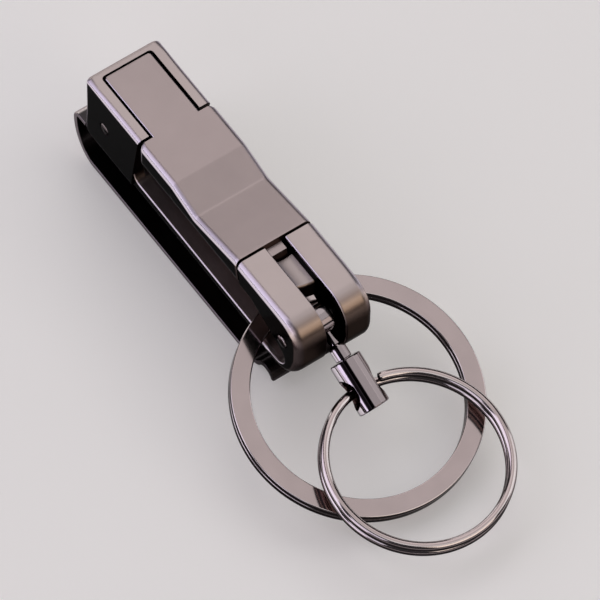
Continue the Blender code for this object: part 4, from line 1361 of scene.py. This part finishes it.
@dataclass
class Swivel:
    """Eye and stem on the cross pin, and the barrel with its cross hole.

    Lengths are counted from the cross pin along the swivel, which hangs down and a little aside, by
    the two angles in degrees.
    """

    frame: Frame
    down: float = 28.5
    aside: float = 2.6
    eye_radius: float = 2.3
    eye_half: float = 1.4
    eye_rim: float = 0.35
    eye_hole: float = 1.25
    neck_radius: float = 0.8
    neck_start: float = 1.0
    neck_end: float = 2.6
    swell_end: float = 5.0
    swell: float = 0.8
    stem_radius: float = 1.3
    stem_bevel: float = 0.12
    stem_length: float = 6.7
    shank_radius: float = 0.95
    peened_radius: float = 1.25
    peened_length: float = 0.6
    play: float = 0.1
    barrel_radius: float = 2.5
    barrel_length: float = 8.3
    barrel_edge: float = 0.25
    hole_radius: float = 1.8
    hole_centres: Pair = (4.4, 5.3)
    mouth_depths: Pair = (1.0, 2.7)
    mouth_flare: float = 0.32
    top_wall: float = 2.5
    seat_radius: float = 1.4

    def hang(self, obj: Solid) -> None:
        """Lay a piece that was made along x onto the swivel's axis, with its zero on the cross pin.

        Args:
            obj: the piece.
        """
        down, aside = math.radians(self.down), math.radians(self.aside)
        x, z = self.frame.cross_pin
        place(obj, Matrix.Rotation(aside, 3, 'Z') @ Matrix.Rotation(down, 3, 'Y'), (x, 0.0, z))

    def eye(self, finishes: Finishes) -> None:
        """The eye with its stem: a flat round eye, a neck that swells into the stem, and a peened shank.

        Args:
            finishes: the key ring's finishes.
        """
        slope = np.radians(np.linspace(90.0, 0.0, 9))
        swell = np.column_stack((self.swell_end - self.swell * np.sin(slope),
                                 self.neck_radius + (self.stem_radius - self.neck_radius) * np.cos(slope)))
        end, head = self.stem_length, self.stem_length + self.top_wall + 2.0 * self.play
        shank, peened, bevel = self.shank_radius, self.peened_radius, self.stem_bevel
        tip = head + self.peened_length
        stem = turned("stem", np.vstack((
            [(self.neck_start, AXIS), (self.neck_start, self.neck_radius),
             (self.neck_end, self.neck_radius)],
            swell,
            [(end - bevel, self.stem_radius), (end, self.stem_radius - bevel), (end, shank), (head, shank),
             (head, peened), (head + 0.2, peened), (tip, peened - 0.25), (tip, AXIS)])), 56)
        outline = circle((0.0, 0.0), self.eye_radius, 56, 0.0)
        disc = plate("disc", outline, (-self.eye_half, self.eye_half), self.eye_rim, self.eye_rim)
        stem = combine(stem, [disc], Step.JOIN)
        stem = combine(stem, [rod_across("eye_hole", 0.0, 0.0, self.eye_hole)], Step.CUT)
        self.hang(stem)
        finish_piece(stem, "eye_and_stem", Body.EYE, "swivel_eye", finishes.swivel)

    def barrel(self, finishes: Finishes) -> None:
        """The barrel: a turned sleeve with round edges, a slotted cross hole with flared mouths, and bores.

        Args:
            finishes: the key ring's finishes.
        """
        start = self.stem_length + self.play
        edge, length, side = self.barrel_edge, self.barrel_length, self.barrel_radius - self.barrel_edge
        profile = np.vstack(([(0.0, AXIS)], arc((edge, side), edge, 180.0, 90.0, 6),
                             arc((length - edge, side), edge, 90.0, 0.0, 6), [(length, AXIS)]))
        sleeve = turned("sleeve", profile + (start, 0.0), 96)
        near, far = (start + centre for centre in self.hole_centres)
        slot = np.vstack((arc((near, 0.0), self.hole_radius, 90.0, 270.0, 24),
                          arc((far, 0.0), self.hole_radius, -90.0, 90.0, 24)))
        bores = [turned("bore", np.array([(low, AXIS), (low, radius), (near, radius), (near, AXIS)]), 40)
                 for low, radius in ((start - 1.0, self.shank_radius + self.play),
                                     (start + self.top_wall, self.seat_radius))]
        hole = plate("ring_hole", slot, (-6.0, 6.0), 0.001, 0.001)
        sleeve = combine(sleeve, [hole, *bores, *self.mouths(slot)], Step.CUT)
        self.hang(sleeve)
        finish_piece(sleeve, "turned_barrel", Body.BARREL, "barrel", finishes.swivel)

    def mouths(self, slot: np.ndarray) -> list[Solid]:
        """Cutters that round both mouths of the cross hole.

        Args:
            slot: the hole's outline.

        Returns:
            Two stepped prisms. They grow by the square of the way to the barrel's side, and start a hair
            inside the hole, so that no two walls lie in one plane.
        """
        start, end = self.mouth_depths
        depths = np.linspace(start, end, 7)
        grow = self.mouth_flare * ((depths - start) / (end - start)) ** 2
        return [prism("mouth", slot, [(side * depth, more - 0.01) for depth, more in zip(depths, grow)], 1)
                for side in (-1.0, 1.0)]

    def build(self, finishes: Finishes) -> None:
        """Make the eye and the barrel."""
        self.eye(finishes)
        self.barrel(finishes)


@dataclass
class SplitRing:
    """A split ring: one wire in two flat turns with one climb.

    Both ends lie beside the crossing wire.

    Attributes:
        name: the piece's name.
        node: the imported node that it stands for.
        body: the body that it rides on.
        outer: outer diameter.
        wire: the wire's width across the ring.
        section: the wire's section, as points (outwards, up).
        step: height from one turn to the next.
        centre: the ring's middle in body millimetres.
        tilt: turn about y in degrees, after the roll.
        roll: turn about x in degrees.
        climb: angles on the ring where the climb starts and ends.
        per_turn: stations in each turn.
        blunt: share by which the section shrinks at both ends.
    """

    name: str
    node: str
    body: Body
    outer: float
    wire: float
    section: np.ndarray
    step: float
    centre: Triple
    tilt: float
    roll: float
    climb: Pair
    per_turn: int = 220
    blunt: float = 0.12

    @classmethod
    def large(cls) -> SplitRing:
        """The flat-wired ring through the carabiner's loop."""
        return cls("flat_split_ring", "large_ring", Body.LARGE_RING, outer=38.0, wire=2.95,
                   section=rounded_rectangle(2.95, 1.1, 0.2), step=1.18, centre=(60.91, 0.07, 7.42),
                   tilt=14.16, roll=-2.31, climb=(158.0, 190.0))

    @classmethod
    def small(cls) -> SplitRing:
        """The round-wired ring through the barrel's hole."""
        return cls("round_split_ring", "small_ring", Body.SMALL_RING, outer=29.1, wire=1.5,
                   section=circle((0.0, 0.0), 0.74, 28), step=1.58, centre=(74.87, 0.85, 7.82),
                   tilt=11.0, roll=-2.18, climb=(170.0, 208.0))

    def build(self, finishes: Finishes) -> None:
        """Carry the section along the wire.

        The way is a circle of the mean radius. Its height is minus half a step on the lower turn, plus
        half a step on the upper turn, and a smooth step of the angle between them in the climb.

        Args:
            finishes: the key ring's finishes.
        """
        start, end = self.climb
        angles = np.linspace(end, start + 720.0, 2 * self.per_turn)
        share = np.clip((angles - (start + 360.0)) / (end - start), 0.0, 1.0)
        height = self.step * (share * share * (3.0 - 2.0 * share) - 0.5)
        turn = np.radians(angles)
        outwards = np.column_stack((np.cos(turn), np.sin(turn), np.zeros_like(turn)))
        path = outwards * (self.outer - self.wire) / 2
        path[:, 2] = height
        shrink = np.ones((len(path), 1))
        shrink[[0, -1]] = 1.0 - self.blunt
        ring = carried(self.name, path, outwards * shrink, shrink * (0.0, 0.0, 1.0), self.section)
        tilt, roll = math.radians(self.tilt), math.radians(self.roll)
        place(ring, Matrix.Rotation(tilt, 3, 'Y') @ Matrix.Rotation(roll, 3, 'X'), self.centre)
        finish_piece(ring, self.name, self.body, self.node, finishes.rings)


@dataclass
class GateSpring:
    """The torsion spring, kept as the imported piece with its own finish."""

    node: Solid

    def build(self, finishes: Finishes) -> None:
        """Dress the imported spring.

        Args:
            finishes: the key ring's finishes.
        """
        self.node.data.materials.clear()
        self.node.data.materials.append(finishes.strip)
        LOG.info("piece %s kept as it is packed", self.node.name)


@dataclass(frozen=True)
class Lamp:
    """A plain soft rectangular lamp, with one side along an axis and turned about it to face the object.

    Attributes:
        name: the lamp's name.
        spot: metres from the middle of the object.
        side: the direction of its first side.
        size: first and second side in metres.
        level: radiance, where white metal that reflects the lamp renders as this times white.
        colour: sRGB hex colour.
    """

    name: str
    spot: Triple
    side: LampSide
    size: Pair
    level: float
    colour: str = "FFFFFF"

    def build(self, target: Triple) -> None:
        """Make the lamp. Its power is its radiance times pi times its area.

        Args:
            target: the middle of the object in metres.
        """
        data = bpy.data.lights.new(self.name, 'AREA')
        data.shape = 'RECTANGLE'
        data.size, data.size_y = self.size
        data.energy = self.level * math.pi * self.size[0] * self.size[1]
        data.color = linear(self.colour)[:3]
        lamp = bpy.data.objects.new(self.name, data)
        side, away = Vector(self.side.value), Vector(self.spot)
        away = (away - away.dot(side) * side).normalized()
        turn = Matrix((side, away.cross(side), away)).transposed()
        lamp.matrix_world = Matrix.Translation(Vector(target) + Vector(self.spot)) @ turn.to_4x4()
        bpy.context.scene.collection.objects.link(lamp)


@dataclass(frozen=True)
class Studio:
    """Pale floor, dim even surround, and soft lamps that lie where the polished metal mirrors them.

    Two lamps overhead light the faces, one in front the nose and one behind the bend. Three cooler
    ones at the near side give the pale strips along the near rims, and one lights the far side.
    """

    floor_colour: str = "E6E3E1"
    surround: str = "2E2C2E"
    glow: float = 0.25
    half: float = 3.0
    drop: float = 0.0003
    target: Triple = (0.018, 0.0, 0.012)
    lamps: tuple[Lamp, ...] = (
        Lamp("overhead", (-0.64, 0.42, 1.0), LampSide.ALONG, (1.08, 1.0), 1.0),
        Lamp("overhead_front", (0.34, 0.24, 1.0), LampSide.ALONG, (0.88, 1.4), 0.72),
        Lamp("front", (0.9, 0.34, 0.55), LampSide.ACROSS, (0.9, 0.62), 1.05, "F5E8DC"),
        Lamp("rear", (-1.02, 0.27, 0.32), LampSide.ACROSS, (0.8, 0.6), 1.0),
        Lamp("near_side", (-0.49, -0.72, 0.68), LampSide.ALONG, (0.85, 1.34), 1.35, "E4DFEE"),
        Lamp("near_front", (0.42, -0.78, 0.5), LampSide.ALONG, (0.6, 0.55), 0.8, "E4DFEE"),
        Lamp("near_low", (0.17, -0.97, 0.16), LampSide.ALONG, (0.5, 0.32), 1.5, "E4DFEE"),
        Lamp("far_side", (0.3, 0.88, 0.38), LampSide.ALONG, (0.6, 0.7), 0.85))

    def floor(self) -> None:
        """A wide floor of matt card just under the belt clip: it shows the shadow and no mirror image."""
        mesh = bpy.data.meshes.new("floor")
        half = self.half
        mesh.from_pydata([(-half, -half, 0.0), (half, -half, 0.0), (half, half, 0.0), (-half, half, 0.0)],
                         [], [(0, 1, 2, 3)])
        floor = bpy.data.objects.new("floor", mesh)
        floor.location = (0.0, 0.0, -self.drop)
        bpy.context.scene.collection.objects.link(floor)
        material = bpy.data.materials.new("matt_card")
        material.use_nodes = True
        shader = material.node_tree.nodes["Principled BSDF"]
        shader.inputs["Base Color"].default_value = linear(self.floor_colour)
        shader.inputs["Roughness"].default_value = 0.9
        self.add_glow(material.node_tree, shader)
        mesh.materials.append(material)

    def add_glow(self, tree: Tree, shader: Node) -> None:
        """Lift the floor for rays from the camera and off metal, so that both show it pale.

        Args:
            tree: the floor's node tree.
            shader: its shader.
        """
        ray = add_node(tree, "ShaderNodeLightPath")
        seen = add_node(tree, "ShaderNodeMath", {"operation": 'MAXIMUM'},
                        {0: ray.outputs["Is Camera Ray"], 1: ray.outputs["Is Glossy Ray"]})
        either = add_node(tree, "ShaderNodeMath", {"operation": 'MAXIMUM'},
                          {0: seen, 1: ray.outputs["Is Transmission Ray"]})
        strength = add_node(tree, "ShaderNodeMath", {"operation": 'MULTIPLY'}, {0: either, 1: self.glow})
        set_inputs(tree, shader, {"Emission Color": linear(self.floor_colour),
                                  "Emission Strength": strength})

    def build(self) -> None:
        """Set up the world, the floor and the lamps."""
        world = bpy.data.worlds.new("surround")
        world.use_nodes = True
        world.node_tree.nodes["Background"].inputs["Color"].default_value = linear(self.surround)
        bpy.context.scene.world = world
        self.floor()
        for lamp in self.lamps:
            lamp.build(self.target)


@dataclass(frozen=True)
class Camera:
    """The photograph's camera: a long lens from the nose side, above.

    Its place and the point it looks at are in body millimetres, and its roll is in degrees.
    """

    spot: Triple = (619.166, -413.561, 1117.416)
    aim: Triple = (43.623, 1.893, 10.0)
    roll: float = 1.0314
    lens: float = 540.0
    sensor: float = 36.0

    def build(self) -> None:
        """Make the camera, level it on the line to its aim, then roll it about that line."""
        data = bpy.data.cameras.new("camera")
        data.lens = self.lens
        data.sensor_width = self.sensor
        data.clip_start = 0.1
        data.clip_end = 20.0
        camera = bpy.data.objects.new("camera", data)
        level = (Vector(self.spot) - Vector(self.aim)).to_track_quat('Z', 'Y').to_matrix()
        turn = level @ Matrix.Rotation(math.radians(self.roll), 3, 'Z')
        camera.matrix_world = Matrix.Translation(Vector(to_metres(np.array(self.spot)))) @ turn.to_4x4()
        bpy.context.scene.collection.objects.link(camera)
        bpy.context.scene.camera = camera


def main() -> None:
    """Build the key ring's pieces in order."""
    logging.basicConfig(level=logging.INFO, format="%(message)s")
    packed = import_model()
    bpy.context.scene.view_settings.view_transform = 'Standard'
    Camera().build()
    Studio().build()
    finishes = Finishes.make()
    frame = Frame(GateSizes())
    sub_assemblies = (frame, Gate(frame.gate), BeltClip(frame), Pins(frame),
                      GateSpring(packed["nodes"]["gate_spring"]), Swivel(frame),
                      SplitRing.large(), SplitRing.small())
    for sub_assembly in sub_assemblies:
        sub_assembly.build(finishes)


if __name__ == "__main__":
    main()
